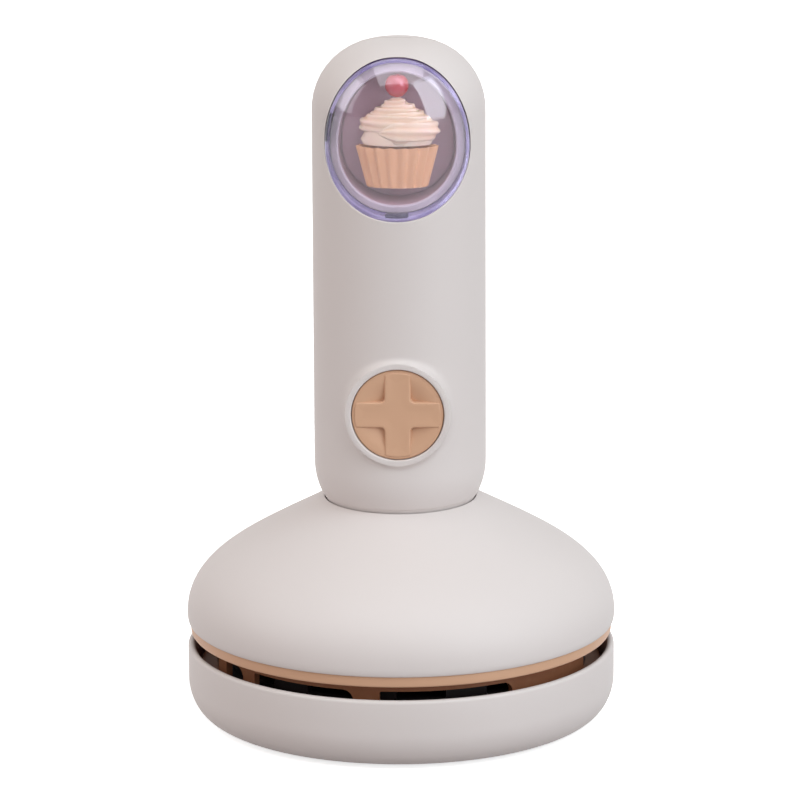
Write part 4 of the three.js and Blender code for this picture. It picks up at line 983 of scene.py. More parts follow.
def handlePlace(turn, along, inset=0.0):
    radius, height = handleProfile(along, inset)
    if inset == 0:
        radius = outerDistance(turn, along) - neckInset(height)
    return (radius * math.sin(turn), -radius * math.cos(turn), height)


def circleHole(grow, angle):
    reach = handlePlan.holeRadius + grow
    return reach * math.cos(angle), handlePlan.holeHeight + reach * math.sin(angle)


def windowOutline(grow, angle):  # the window's outline in front view, in the direction of angle from its middle
    power = handlePlan.outlinePower
    half = handlePlan.upperHalf if math.sin(angle) >= 0 else handlePlan.lowerHalf
    across = abs(math.cos(angle)) / (handlePlan.lensHalfWidth + grow)
    up = abs(math.sin(angle)) / (half + grow)
    reach = (across ** power + up ** power) ** (-1 / power)
    return reach * math.cos(angle), handlePlan.lensMiddle + reach * math.sin(angle)


def windowHole(grow, angle):
    return windowOutline(grow + handlePlan.windowGap, angle)


def frontDepth(x, height, inset=0.0):  # y of the capsule's front at a place in front view
    return -math.sqrt(max(0.01, radiusAtHeight(height, inset) ** 2 - x * x))


def handleRows(plan):  # distances along the profile, and the rows where the two patches start and end
    lowRow, highRow, buttonCount = plan.buttonRows
    windowFoot, windowCount = plan.windowRows
    starts = [lineStart + lowRow - plan.shoulderTop, alongAt(highRow), alongAt(windowFoot),
              crownStart + plan.crownRound * math.radians(plan.capDegrees), poleStart]
    gap = neckRise + plan.grooveHeight / math.cos(neckAngle)
    rows = [0, gap - 0.002]
    rows += [gap + 0.002 + plan.grooveRound * 1.25 * (n / plan.grooveRows) ** 2 for n in range(plan.grooveRows + 1)]
    rows += [rows[-1] + (starts[0] - rows[-1]) * n / plan.neckRows for n in range(1, plan.neckRows)]
    spans = []
    for start, end, count in zip(starts, starts[1:], (buttonCount, plan.plainRows, windowCount, plan.plainRows)):
        spans.append(len(rows))
        rows += [start + (end - start) * n / count for n in range(count)]
    return rows, [(spans[0], spans[1], circleHole), (spans[2], spans[3], windowHole)]


def makeHandleShells(plan):
    sketch = meshSketch()
    columns, left, right = plan.columns, plan.columns // 4, 3 * (plan.columns // 4)
    turns = [math.radians(-180 + 360 * n / columns) for n in range(columns)]
    rows, patches = handleRows(plan)
    surfaces = []
    for inset in (0.0, plan.wall):
        grid = [[None if left < c < right and any(a < r < b for a, b, _ in patches)  # the patches fill these
                 else sketch.add([handlePlace(turns[c], along, inset)])[0] for c in range(columns)]
                for r, along in enumerate(rows)]
        for r in range(len(rows) - 1):
            for c in range(columns):
                d = (c + 1) % columns
                if not (left <= c < right and any(a <= r < b for a, b, _ in patches)):
                    sketch.faces.append((grid[r][c], grid[r][d], grid[r + 1][d], grid[r + 1][c]))
        sketch.fan(grid[-1], (0, 0, plan.top - inset))
        surfaces.append(grid)
    sketch.skin(surfaces[0][0], surfaces[1][0])

    for a, b, outline in patches:
        isCircle = outline is circleHole
        middle = plan.holeHeight if isCircle else plan.lensMiddle
        edge = [(a, c) for c in range(left, right)] + [(r, right) for r in range(a, b)]
        edge += [(b, c) for c in range(right, left, -1)] + [(r, left) for r in range(b, a, -1)]
        angles, rims = [], []
        for r, c in edge:
            radius, height = handleProfile(rows[r])
            angles.append(math.atan2(height - middle, radius * math.sin(turns[c])))
        for grid, inset, layers in zip(surfaces, (0.0, plan.wall), (plan.layers, plan.insideLayers)):
            goals = []
            for angle in angles:
                x, height = outline(0.0 if inset else plan.fillet, angle)
                if inset:
                    height = min(height, plan.top - plan.insideRoom)
                if isCircle and not inset:
                    goals.append((math.atan2(x, -plan.bossFront), alongAt(height)))
                else:
                    side = math.asin(clamp(x / radiusAtHeight(height, inset), -1, 1))
                    goals.append((side, alongAt(height, inset)))
            loop = [grid[r][c] for r, c in edge]
            for n in range(1, layers + 1):
                share = 1 - (1 - n / layers) ** plan.layerPower
                loop = sketch.skin(loop, sketch.add(handlePlace(
                    turns[c] + (goal[0] - turns[c]) * share, rows[r] + (goal[1] - rows[r]) * share, inset)
                    for (r, c), goal in zip(edge, goals)))
            rims.append(loop)
        loop = rims[0]
        for step in range(1, plan.filletSteps + 1):  # the rounded edge of the hole
            bend = math.radians(90 * step / plan.filletSteps)
            places = []
            for angle in angles:
                x, height = outline(plan.fillet * (1 - math.sin(bend)), angle)
                surface = plan.bossFront if isCircle else frontDepth(x, height)
                places.append((x, surface + plan.fillet * (1 - math.cos(bend)), height))
            loop = sketch.skin(loop, sketch.add(places))
        sketch.skin(loop, rims[1])
    return freshObject("handleWhole", sketch, 0.001)


def cutHalf(whole, name, cut, keepFront):
    mesh = whole.data.copy()
    work = bmesh.new()
    work.from_mesh(mesh)
    bmesh.ops.bisect_plane(
        work, geom=work.verts[:] + work.edges[:] + work.faces[:], dist=0.00001 * mm, plane_co=(0, cut * mm, 0),
        plane_no=(0, 1, 0), clear_outer=keepFront, clear_inner=not keepFront)
    bmesh.ops.triangle_fill(work, edges=[edge for edge in work.edges if edge.is_boundary], use_beauty=True)
    bmesh.ops.recalc_face_normals(work, faces=work.faces)
    work.to_mesh(mesh)
    work.free()
    return addObject(name, mesh)


handleWhole = makeHandleShells(handlePlan)
handleFront = cutHalf(handleWhole, "handleFront", handlePlan.seamFront, True)
handleBack = cutHalf(handleWhole, "handleBack", handlePlan.seamBack, False)
bpy.data.objects.remove(handleWhole)
finishPiece(handleFront, "handle_front_shell", sharp=30)

# Back of the handle: screw wells, the mouth of the charging socket, and a lip behind the seam
backPlan = planOf(
    wellRadius=2.5, bossRadius=3.2, screwHole=1.4, headRoom=1.3, socketGap=0.45, socketDepth=12.0,
    lipFoot=55.3, lipReach=1.0, lipGap=0.03, lipWall=0.8, lipSteps=60)


def makeSeamLip(plan):  # a band behind the seam, from the neck over the crown and down again
    lip = meshSketch()
    near = handlePlan.wall + plan.lipGap
    far = near + plan.lipWall
    front, back = handlePlan.seamFront - plan.lipReach, handlePlan.seamBack + plan.lipReach
    foot, count = plan.lipFoot - handlePlan.foot, plan.lipSteps
    rings = []
    for n in range(2 * count + 1):
        along = foot + (poleStart - foot) * (1 - abs(n - count) / count)
        side = 1 if n < count else -1
        corners = []
        for inset, y in ((near, front), (near, back), (far, back), (far, front)):
            radius, height = handleProfile(along, inset)
            corners.append((side * radius, y, height))
        rings.append(lip.add(corners))
    finishPiece(freshObject("seamLip", lip.loft(rings)), "handle_back_shell", sharp=30)


def makeBackDetails(back, plan):
    bosses, wells, mouth = meshSketch(), meshSketch(), meshSketch()
    outside = handlePlan.radius + 1
    for node in ("handle_screw_1", "handle_screw_2", "tray_screw"):
        x, _, z = middleOf(node)
        seat = boxOf(node)[1].y - plan.headRoom
        skin = math.sqrt((handlePlan.radius - 1) ** 2 - (abs(x) + plan.bossRadius) ** 2)
        plainRod(bosses, plan.bossRadius, x, z, handlePlan.seamBack if x else seat - 3, skin)
        plainRod(wells, plan.wellRadius, x, z, seat, outside)
        plainRod(wells, plan.screwHole, x, z, -10, seat + 0.5, 20)
    combine(back, bosses, "UNION")
    combine(back, wells)
    low, high = boxOf("charge_socket")
    middle, half = (low.z + high.z) / 2, (high.z - low.z) / 2 + plan.socketGap
    flat = high.x + plan.socketGap - half
    outline = arcPoints(flat, middle, half, half, -90, 90, 10) + arcPoints(-flat, middle, half, half, 90, 270, 10)
    combine(back, mouth.loft([mouth.add((x, y, z) for x, z in outline) for y in (plan.socketDepth, outside)]))
    finishPiece(back, "handle_back_shell", sharp=30)


makeBackDetails(handleBack, backPlan)
makeSeamLip(backPlan)
print("stage: handle shells made")

# Display window: clear dome, lilac skirt wall, and the tray behind it
windowPlan = planOf(
    segments=144, domeRings=18, proud=0.8, glass=0.8, edgeRound=0.5, skirtInset=0.1, skirtWall=0.95,
    skirtSlope=0.3, skirtSoft=0.25, skirtBack=lensHigh.y, recess=4.2, trayInset=1.45, flange=1.75,
    rimThickness=0.5, rimSoft=0.2, wallSlope=0.3, trayFloor=-8.0, trayBack=-6.8, grooveWidth=0.35,
    grooveDepth=0.7, postRadius=3.2, clipDepth=1.6, clipSoft=0.12,
    sideClip=(143.1, 18.0, 3.3 / 16, 0.06, 0.62),  # height, reach, half sweep, outer and inner inset
    footClip=(2.6 / 15, 0.75, 1.75))  # half sweep, outer and inner inset


def windowRing(sketch, grow, depth, offset=0.0, share=1.0):  # depth is a number, or found from x and z
    places, middle = [], handlePlan.lensMiddle
    for n in range(windowPlan.segments):
        x, z = windowOutline(grow, 2 * math.pi * n / windowPlan.segments)
        x, z = x * share, middle + (z - middle) * share
        places.append((x, (depth(x, z) if callable(depth) else depth) + offset, z))
    return sketch.add(places)


def domeRings(sketch, edge, inset):  # concentric rings from the edge inwards, on the dome
    def surface(x, z):
        return frontDepth(x, z, inset)

    count, middle = windowPlan.domeRings, handlePlan.lensMiddle
    rings = [windowRing(sketch, edge, surface, share=1 - n / count) for n in range(count)]
    sketch.loft(rings, "open").fan(rings[-1], (0, surface(0, middle), middle))
    return rings[0]


def clipStrip(sketch, middle, sweep, outer, inner, depthAt, plan, steps=14):  # a short band along the outline
    soft, rings = plan.clipSoft, []
    for n in range(steps + 1):
        angle = middle - sweep + 2 * sweep * n / steps
        fall = soft if n in (0, steps) else 0.0
        corners = []
        for inset, drop in ((outer, fall + soft), (outer + soft, fall), (inner - soft, fall), (inner, fall + soft),
                            (inner, plan.clipDepth), (outer, plan.clipDepth)):
            x, z = windowOutline(-inset, angle)
            corners.append((x, depthAt(x, z) + drop, z))
        rings.append(sketch.add(corners))
    sketch.loft(rings)


def domeFace(x, z):
    return frontDepth(x, z, -windowPlan.proud)


def skirtFace(x, z):
    return frontDepth(x, z, windowPlan.glass - windowPlan.proud + 0.06)


def makeLens(plan):
    sketch = meshSketch()
    rounding = plan.edgeRound
    loop = domeRings(sketch, -rounding, -plan.proud)
    for step in range(1, 6):
        bend = math.radians(90 * step / 5)
        grow, drop = -rounding * (1 - math.sin(bend)), rounding * (1 - math.cos(bend))
        loop = sketch.skin(loop, windowRing(sketch, grow, domeFace, drop))
    loop = sketch.skin(loop, windowRing(sketch, 0, domeFace, plan.glass))
    sketch.skin(loop, domeRings(sketch, -0.4, plan.glass - plan.proud))
    finishPiece(freshObject("lensDome", sketch, 0.0005), "display_lens", sharp=50)

    def deepFace(x, z):
        return min(plan.skirtBack - 0.05, domeFace(x, z) + plan.recess + 0.35)

    wall, soft = meshSketch(), plan.skirtSoft
    outer, inner = -plan.skirtInset, -plan.skirtInset - plan.skirtWall
    wall.loft([windowRing(wall, *step) for step in (
        (outer, skirtFace, soft), (outer - soft, skirtFace), (inner + soft, skirtFace), (inner, skirtFace, soft),
        (inner - plan.skirtSlope, deepFace), (outer, deepFace))], "joined")
    finishPiece(freshObject("lensSkirt", wall, 0.0005), "display_lens", material=lensWallLilac, sharp=40)

    clips = meshSketch()  # snap clips, coloured near black as painted shade for their slots: one on the left, a little above the middle, and one at the foot
    height, reach, sweep, *insets = plan.sideClip
    rise = math.pi - math.asin((height - handlePlan.lensMiddle) / reach)
    clipStrip(clips, rise, sweep, *insets, lambda x, z: domeFace(x, z) - 0.05, plan)
    sweep, *insets = plan.footClip
    clipStrip(clips, math.pi * 1.5, sweep, *insets, lambda x, z: skirtFace(x, z) - 0.04, plan)
    finishPiece(freshObject("lensClips", clips, 0.0005), "display_lens", material=lensClipLilac, sharp=30)


def makeTray(plan):
    floor, back, soft, thick = plan.trayFloor, plan.trayBack, plan.rimSoft, plan.rimThickness
    outer = -plan.trayInset
    inner = outer - plan.flange
    groove = inner - plan.wallSlope
    step = groove - plan.grooveWidth
    middle = handlePlan.lensMiddle

    def flangeFace(x, z):
        return min(floor - 0.7, domeFace(x, z) + plan.recess)

    sketch = meshSketch()
    rings = [windowRing(sketch, *place) for place in (
        (outer, back), (outer, flangeFace, soft), (outer - soft, flangeFace), (inner + soft, flangeFace),
        (inner, flangeFace, soft), (groove, floor + plan.grooveDepth), (step, floor + plan.grooveDepth),
        (step, floor + 0.1), (step - 0.1, floor))]
    sketch.loft(rings, "open")
    sketch.fan(rings[-1], (0, floor, middle))
    sketch.fan(rings[0], (0, back, middle))
    tray = freshObject("windowTray", sketch, 0.0005)
    end = boxOf("display_tray")[1].y
    combine(tray, rodAlongY(meshSketch(), [
        (0, back - 0.6), (plan.postRadius, back - 0.6), (plan.postRadius, end), (1.0, end), (1.0, back - 0.1),
        (0, back - 0.1)], 32, 0, middleOf("tray_screw")[2]), "UNION")
    finishPiece(tray, "display_tray", sharp=35)

    rim, outer = meshSketch(), outer + 0.05  # the rim that frames the tray, painted paler than the tray's mauve as painted light
    rim.loft([windowRing(rim, *place) for place in (
        (outer, flangeFace, -0.05), (outer, flangeFace, soft - thick), (outer - soft, flangeFace, -thick),
        (inner + soft * 2, flangeFace, -thick), (inner, flangeFace, soft * 2 - thick), (inner, flangeFace, -0.05),
    )], "joined")
    finishPiece(freshObject("trayRim", rim, 0.0005), "display_tray", material=trayRimMauve, sharp=35)


makeLens(windowPlan)
makeTray(windowPlan)
print("stage: window and tray made")

# Iced cake in the window
cupLow, cupHigh = boxOf("ornament_cup")
creamLow, creamHigh = boxOf("ornament_cream")
cakePlan = planOf(
    pleats=18, pleatDepth=0.11, segments=216, cupFootShare=0.74, crimp=0.03, turns=3.4, lobes=8, lobeDepth=0.2,
    steps=300, sides=40, peak=0.9, dimple=0.16, stalk=0.14, tubeShare=0.32, firstAngle=-0.6, thinning=0.4,
    squash=0.86, inwardPower=1.15, upwardPower=1.05, twist=0.16)


def makeCup(plan):
    middleY = middleOf("ornament_cup")[1]
    halfX, halfY, height = cupHigh.x, (cupHigh.y - cupLow.y) / 2, cupHigh.z - cupLow.z
    foot = plan.cupFootShare
    levels = [(0, 0.0, 0.0), (foot - 0.02, 0.0, 0.6), (foot, 0.03, 1.0)]  # reach, rise, how far it is pleated
    levels += [(foot + (0.985 - foot) * n / 10, 0.03 + 0.95 * n / 10, 1.0) for n in range(1, 11)]
    levels += [(0.985, 1.0, 1.0), (0.945, 1.0, 1.0), (0.92, 0.93, 0.8), (0.88, 0.8, 0.4), (0, 0.8, 0.0)]
    sketch, rings = meshSketch(), []
    for reach, rise, pleated in levels:
        places = []
        for n in range(plan.segments):
            angle = 2 * math.pi * n / plan.segments
            fold = 1 - abs(2 * ((angle * plan.pleats / (2 * math.pi)) % 1) - 1)
            swell = reach * (1 - plan.pleatDepth * pleated * (1 - eased(fold)) * 1.2)
            drop = height * plan.crimp * (1 - eased(fold)) if rise > 0.9 else 0.0
            places.append((halfX * swell * math.sin(angle), middleY - halfY * swell * math.cos(angle),
                           cupLow.z + height * rise - drop))
        rings.append(sketch.add(places))
    finishPiece(freshObject("cakeCup", sketch.loft(rings, "open"), 0.001), "ornament_cup", sharp=50)


def makeIcing(plan):  # one swirl wound up over a plain heart
    middleY = middleOf("ornament_cream")[1]
    halfX, height = creamHigh.x, creamHigh.z - creamLow.z
    flat = (creamHigh.y - creamLow.y) / 2 / halfX
    tube = halfX * plan.tubeShare
    path = []
    for n in range(plan.steps + 1):
        share = n / plan.steps
        angle = 2 * math.pi * plan.turns * share + plan.firstAngle
        girth = tube * (1 - plan.thinning * share)
        reach = max(0.0, (halfX - tube * 1.02) * (1 - share ** plan.inwardPower))
        rise = girth * plan.squash + (height - tube * 0.74) * share ** plan.upwardPower
        path.append((Vector((reach * math.sin(angle), -reach * math.cos(angle), rise)), girth, angle))
    sketch, rings = meshSketch(), []
    for n, (point, girth, angle) in enumerate(path):
        ahead = (path[min(n + 1, plan.steps)][0] - path[max(n - 1, 0)][0]).normalized()
        outward = Vector((math.sin(angle), -math.cos(angle), 0.0))
        outward = (outward - ahead * outward.dot(ahead)).normalized()
        upward = outward.cross(ahead).normalized()
        if upward.z < 0:
            upward = -upward
        taper = min(1.0, 0.12 + n / 9, 0.55 + (plan.steps - n) / 40)
        places = []
        for k in range(plan.sides):
            swing = 2 * math.pi * k / plan.sides
            lobe = 0.5 + 0.5 * math.cos(plan.lobes * swing + n * plan.twist)
            size = girth * taper * (1 - plan.lobeDepth * lobe)
            spot = point + outward * (size * math.cos(swing)) + upward * (size * plan.squash * math.sin(swing))
            spot.z = max(spot.z, 0.0)
            places.append((spot.x, middleY + spot.y * flat, creamLow.z + min(spot.z, height + plan.peak)))
        rings.append(sketch.add(places))
    heart = turned(meshSketch(), [
        (0, 0.02), (halfX * 0.72, 0.02), (halfX * 0.78, height * 0.12), (halfX * 0.6, height * 0.45),
        (halfX * 0.3, height * 0.8), (0, height * 0.9)], 64)
    sketch.loft(rings).merge(heart, lambda x, y, z: (x, middleY + y * flat, creamLow.z + z))
    finishPiece(freshObject("cakeIcing", sketch, 0.0005), "ornament_cream", sharp=60)


def makeCherry(plan):
    low, high = boxOf("ornament_cherry")
    _, middleY, middleZ = middleOf("ornament_cherry")
    reach, flat = high.x, (high.y - low.y) / 2
    profile = []
    for n in range(25):
        angle = math.radians(-90 + 180 * n / 24)
        rise = math.sin(angle) - plan.dimple * eased((math.degrees(angle) - 55) / 35)
        profile.append((reach * math.cos(angle) * (1 + 0.03 * math.sin(angle)), middleZ + reach * rise))
    profile[0], profile[-1] = (0, profile[0][1]), (0, profile[-1][1])
    sketch = turned(meshSketch(), profile, 48)
    sketch.points = [(x, middleY + y * flat / reach, z) for x, y, z in sketch.points]
    tubeAlong(sketch, smoothPath([
        (0.0, middleY, middleZ + reach * 0.72), (0.15, middleY - 0.1, middleZ + reach * 0.86),
        (0.5, middleY - 0.15, middleZ + reach * 0.97)], 4), plan.stalk, 8)
    finishPiece(freshObject("cakeCherry", sketch, 0.0005), "ornament_cherry")


makeCup(cakePlan)
makeIcing(cakePlan)
makeCherry(cakePlan)
print("stage: iced cake made")

# Push button: dished disc with a raised cross
buttonPlan = planOf(
    radius=10.54, face=buttonLow.y, floor=1.5, rimDrop=0.22, rimRound=0.3, back=buttonHigh.y, halfArm=2.95,
    endGap=0.5, inner=1.0, outer=0.5, dish=0.14, bevel=0.36, segments=144, flange=buttonHigh.x, flangeWidth=1.2,
    cavity=9.2, cavityDepth=5.6, rings=20, dishStart=3.5, dishRoom=4.2, armInsets=(0.6, 1.0, 1.5, 2.0, 2.5))


def crossLoop(plan, inset):  # the cross outline, moved inwards by inset
    arm = plan.halfArm - inset
    reach = plan.radius - plan.endGap - inset
    corner = max(plan.outer - inset, 0.04)
    fillet = plan.inner + inset
    bend = plan.halfArm + plan.inner
    cornerX = math.sqrt((reach - corner) ** 2 - (arm - corner) ** 2)
    cornerAngle = math.degrees(math.atan2(arm - corner, cornerX))
    points = arcPoints(0, 0, reach, reach, -cornerAngle, cornerAngle, 8)
    points += arcPoints(cornerX, arm - corner, corner, corner, cornerAngle, 90, 5)[1:]
    points += [(bend + (cornerX - bend) * share, arm) for share in (0.75, 0.5, 0.25)]
    points += arcPoints(bend, bend, fillet, fillet, -90, -180, 6)
    points += [(arm, bend + (cornerX - bend) * share) for share in (0.25, 0.5, 0.75)]
    points += arcPoints(arm - corner, cornerX, corner, corner, 0, 90 - cornerAngle, 5)[:-1]
    loop = []
    for turn in (0, math.pi / 2, math.pi, math.pi * 1.5):
        loop += [(x * math.cos(turn) - y * math.sin(turn), x * math.sin(turn) + y * math.cos(turn)) for x, y in points]
    return loop


def makeButton(plan):
    height, face, back = handlePlan.holeHeight, plan.face, plan.back
    rim = plan.radius - plan.rimRound

    def floorDepth(radius):
        share = 1 - eased((radius - plan.dishStart) / (rim - plan.dishRoom))
        return face + plan.rimDrop + (plan.floor - plan.rimDrop) * share

    reaches = [rim * n / plan.rings for n in range(1, plan.rings)]
    profile = [(reach, floorDepth(reach)) for reach in reaches]
    profile += arcPoints(rim, face + plan.rimDrop + plan.rimRound, plan.rimRound, plan.rimRound, -90, 0, 4)
    profile += [(plan.radius, back - plan.flangeWidth), (plan.flange, back - plan.flangeWidth), (plan.flange, back),
                (plan.cavity, back), (plan.cavity, back - plan.cavityDepth)]
    disc = meshSketch()
    angles = [2 * math.pi * n / plan.segments for n in range(plan.segments)]
    rings = [disc.add((radius * math.cos(angle), depth, height + radius * math.sin(angle)) for angle in angles)
             for radius, depth in profile]
    disc.loft(rings, "open")
    disc.fan(rings[0], (0, floorDepth(0), height))
    disc.fan(rings[-1], (0, back - plan.cavityDepth, height))
    button = freshObject("pushButton", disc, 0.0005)
    levels = [(-0.18, plan.floor + 0.6), (-0.1, 0.5)]
    levels += [(plan.bevel * (1 - math.cos(bend)), plan.bevel * (1 - math.sin(bend)))
               for bend in (math.radians(90 * step / 5) for step in range(6))]
    levels += [(inset, plan.dish * eased((inset - plan.bevel) / 2.0)) for inset in plan.armInsets]
    cross = meshSketch()
    combine(button, cross.loft([cross.add((x, face + depth, height + z) for x, z in crossLoop(plan, inset))
                                for inset, depth in levels]), "UNION", 0.0005)
    finishPiece(button, "power_button", "button", sharp=32)


makeButton(buttonPlan)
print("stage: button made")

# Filter frame: stepped rim, cross ribs and a pull tab
filterFramePlan = planOf(segments=160, band=5.7, step=0.33, ribWidth=2.0, ribDepth=0.6, tabHalf=6.0, tabThickness=1.6)


def makeFilterFrame(plan):
    low, high = boxOf("filter_frame")
    foot, reach = boxOf("filter_pad")[0].z - plan.ribDepth, high.x
    inner, step = reach - plan.band, foot + plan.step
    frameRing = turnedObject("filterRing", softened([
        (inner, foot, 0.3), (inner + 1.4, foot, 0.2), (inner + 1.6, step, 0.15), (reach - 1.6, step, 0.15),
        (reach - 1.4, foot, 0.2), (reach, foot, 0.4), (reach, high.z, 0.3), (inner, high.z, 0.2)], steps=4),
        plan.segments)
    half, top, tab = plan.ribWidth / 2, foot + plan.ribDepth, plan.tabThickness / 2
    for a, b in ((inner + 1, half), (half, inner + 1)):
        combine(frameRing, newBlock((-a, -b, foot), (a, b, top), 0.15), "UNION")
    combine(frameRing, newBlock((-plan.tabHalf, -tab, low.z), (plan.tabHalf, tab, foot + plan.ribDepth * 0.6), 0.45, 4),
            "UNION")
    finishPiece(frameRing, "filter_frame", sharp=30)


# Fan: inlet plate with a rolled mouth, ring of outlet slots, and the impeller
fanPlan = planOf(
    segments=144, mouth=11.0, mouthRound=0.7, ringWall=2.0, slots=12, slotShare=0.5333, lip=1.0, slotRound=1.2,
    hub=5.0, plate=1.0, blades=11, bladeStart=11.0, bladeThickness=1.1, sweep=42.0, bladeSteps=14, outerDrop=0.9)


def makeInletPlate(plan):
    low, high = boxOf("fan_inlet_plate")
    mouth, step = plan.mouth, low.z + 0.35
    finishPiece(turnedObject("inletPlate", softened([
        (mouth, low.z, plan.mouthRound), (mouth + 3, low.z, 0.3), (mouth + 3.4, step, 0.2), (high.x - 2, step, 0.2),
        (high.x - 1.6, low.z, 0.2), (high.x, low.z, 0.3), (high.x, high.z, 0.3), (mouth, high.z, plan.mouthRound)],
        steps=4), plan.segments), "fan_inlet_plate", sharp=30)


def makeOutletRing(plan):
    low, high = boxOf("diffuser_ring")
    inner, step = high.x - plan.ringWall, 360 / plan.slots
    outlet = turnedObject("outletRing", softened([
        (inner, low.z), (high.x, low.z), (high.x, high.z), (inner, high.z)], 0.35), plan.segments)
    cut = meshSketch()
    for n in range(plan.slots):
        windowCutter(cut, inner, high.x, low.z + plan.lip, high.z - plan.lip, 90 + n * step,
                     90 + (n + plan.slotShare) * step, plan.slotRound, plan.slotRound)
    combine(outlet, cut)
    finishPiece(outlet, "diffuser_ring", sharp=30)


def makeFanWheel(plan):
    low, high = boxOf("impeller")
    shaftLow, shaftHigh = boxOf("motor_shaft")
    bore, hub, under = shaftHigh.x + 0.2, plan.hub, high.z - plan.plate
    wheel = turned(meshSketch(), softened([
        (bore, low.z, 0.1), (hub * 0.55, low.z, 0.8), (hub, low.z + 1.6, 0.8), (hub + 1.2, under, 0.8),
        (high.x, under, 0.3), (high.x, high.z, 0.3), (bore, high.z, 0.1)], steps=4), plan.segments)
    for blade in range(plan.blades):
        rings = []
        for n in range(plan.bladeSteps + 1):
            share = n / plan.bladeSteps
            radius = plan.bladeStart + (high.x - plan.bladeThickness - plan.bladeStart) * share
            turn = math.radians(360 * blade / plan.blades + plan.sweep * share ** 2)
            lean = plan.bladeThickness / 2 / radius
            foot, top = low.z + plan.outerDrop * share ** 1.5, high.z - plan.plate / 2
            rings.append(wheel.add((radius * math.cos(turn + side * lean), radius * math.sin(turn + side * lean), z)
                                   for side, z in ((-0.6, foot), (0.6, foot), (1, foot + 0.25), (1, top), (-1, top),
                                                   (-1, foot + 0.25))))
        wheel.loft(rings)
    finishPiece(freshObject("fanWheel", wheel, 0.0005), "impeller", "fan", sharp=30)
    finishPiece(turnedObject("fanShaft", softened([
        (0, shaftLow.z, 0), (shaftHigh.x, shaftLow.z, 0.25), (shaftHigh.x, shaftHigh.z, 0.25), (0, shaftHigh.z, 0)]),
        32), "motor_shaft", "fan")


# Motor, its mount with stiffening ribs, and its end cap
motorPlan = planOf(
    segments=96, faceHole=6.0, mountThickness=1.5, collarWall=1.5, ribs=9, ribWidth=1.2, ribRise=4.4, holeReach=1.2,
    headReach=2.0, crimp=1.1, crimpDepth=0.25, vents=4, ventHalf=16.0, ventInside=6.2, ventOutside=6.4)


def makeMotorSeat(plan):
    low, high = boxOf("motor_mount")
    inner = boxOf("motor_can")[1].x + 0.2
    collar, deck, hole = inner + plan.collarWall, low.z + plan.mountThickness, plan.faceHole
    mount = turnedObject("motorSeat", softened([
        (hole, low.z, 0.2), (high.x, low.z, 0.4), (high.x, deck, 0.4), (collar, deck, 0.6), (collar, high.z, 0.4),
        (inner, high.z, 0.3), (inner, deck, 0.0), (hole, deck, 0.2)], steps=4), plan.segments)
    ribs = meshSketch()
    for n in range(plan.ribs):
        turn = math.radians(360 * (n + 0.5) / plan.ribs - 90)
        along, across = Vector((math.cos(turn), math.sin(turn), 0)), Vector((-math.sin(turn), math.cos(turn), 0))
        ribs.loft([ribs.add(along * reach + across * (side * plan.ribWidth / 2) + Vector((0, 0, rise))
                            for reach, rise in ((collar - 0.5, deck - 0.4), (high.x - 2.5, deck - 0.4),
                                                (high.x - 2.5, deck + 0.3), (collar - 0.5, deck + plan.ribRise)))
                   for side in (-1, 1)])
    combine(mount, ribs, "UNION")
    holes = meshSketch()
    for node in numbered("motor_mount_screw", 3):
        turned(holes, [(0, low.z - 1), (plan.holeReach, low.z - 1), (plan.holeReach, deck + 0.2),
                       (plan.headReach, deck + 0.2), (plan.headReach, deck + 4), (0, deck + 4)], 24, middleOf(node))
    combine(mount, holes)
    finishPiece(mount, "motor_mount", sharp=30)


def makeMotor(plan):
    low, high = boxOf("motor_can")
    radius, bore, shaftEnd = high.x, boxOf("motor_shaft")[1].x + 0.2, boxOf("motor_shaft")[1].z + 0.2
    waist, band = radius - plan.crimpDepth, plan.crimp
    finishPiece(turnedObject("motorCan", softened([
        (bore, low.z, 0.0), (3.0, low.z, 0.2), (3.2, low.z + 0.3, 0.2), (radius - 2.4, low.z + 0.3, 0.2),
        (radius - 2.2, low.z, 0.2), (radius, low.z, 0.8), (radius, high.z - band * 2, 0.2),
        (waist, high.z - band * 1.7, 0.2), (waist, high.z - band, 0.2), (radius, high.z - band * 0.7, 0.2),
        (radius, high.z, 0.25), (0, high.z, 0.0), (0, shaftEnd, 0.0), (bore, shaftEnd, 0.0)], steps=4),
        plan.segments), "motor_can", sharp=30)
    low, high = boxOf("motor_end_cap")
    reach, step = high.x, high.z - 0.3
    cap = turnedObject("motorEndCap", softened([
        (0, low.z, 0), (reach, low.z, 0.1), (reach, step, 0.4), (reach - 3, step, 0.2), (reach - 3.2, high.z, 0.15),
        (2.2, high.z, 0.15), (2.0, high.z - 0.6, 0.15), (0, high.z - 0.6, 0)], steps=3), plan.segments)
    vents = meshSketch()
    for n in range(plan.vents):
        turn = 360 * (n + 0.5) / plan.vents
        windowCutter(vents, plan.ventInside, plan.ventOutside, high.z - 1.0, high.z + 1, turn - plan.ventHalf,
                     turn + plan.ventHalf, 0.05, 0.05)
    combine(cap, vents)
    finishPiece(cap, "motor_end_cap", sharp=30)
    for name in numbered("motor_terminal", 2):
        low, high = boxOf(name)
        tab = freshObject("tab" + name[-1], newBlock(low, high, 0.12))
        combine(tab, plainRod(meshSketch(), 0.4, middleOf(name)[0], high.z - 0.8, low.y - 1, high.y + 1, 16))
        finishPiece(tab, name)


# Screws: pan heads with a cross recess and a ringed shank, laid along each node's own axis
screwPlan = planOf(segments=28, pitch=0.55, threadDepth=0.18, recessDepth=0.6, recessWidth=0.34, recessReach=0.56)


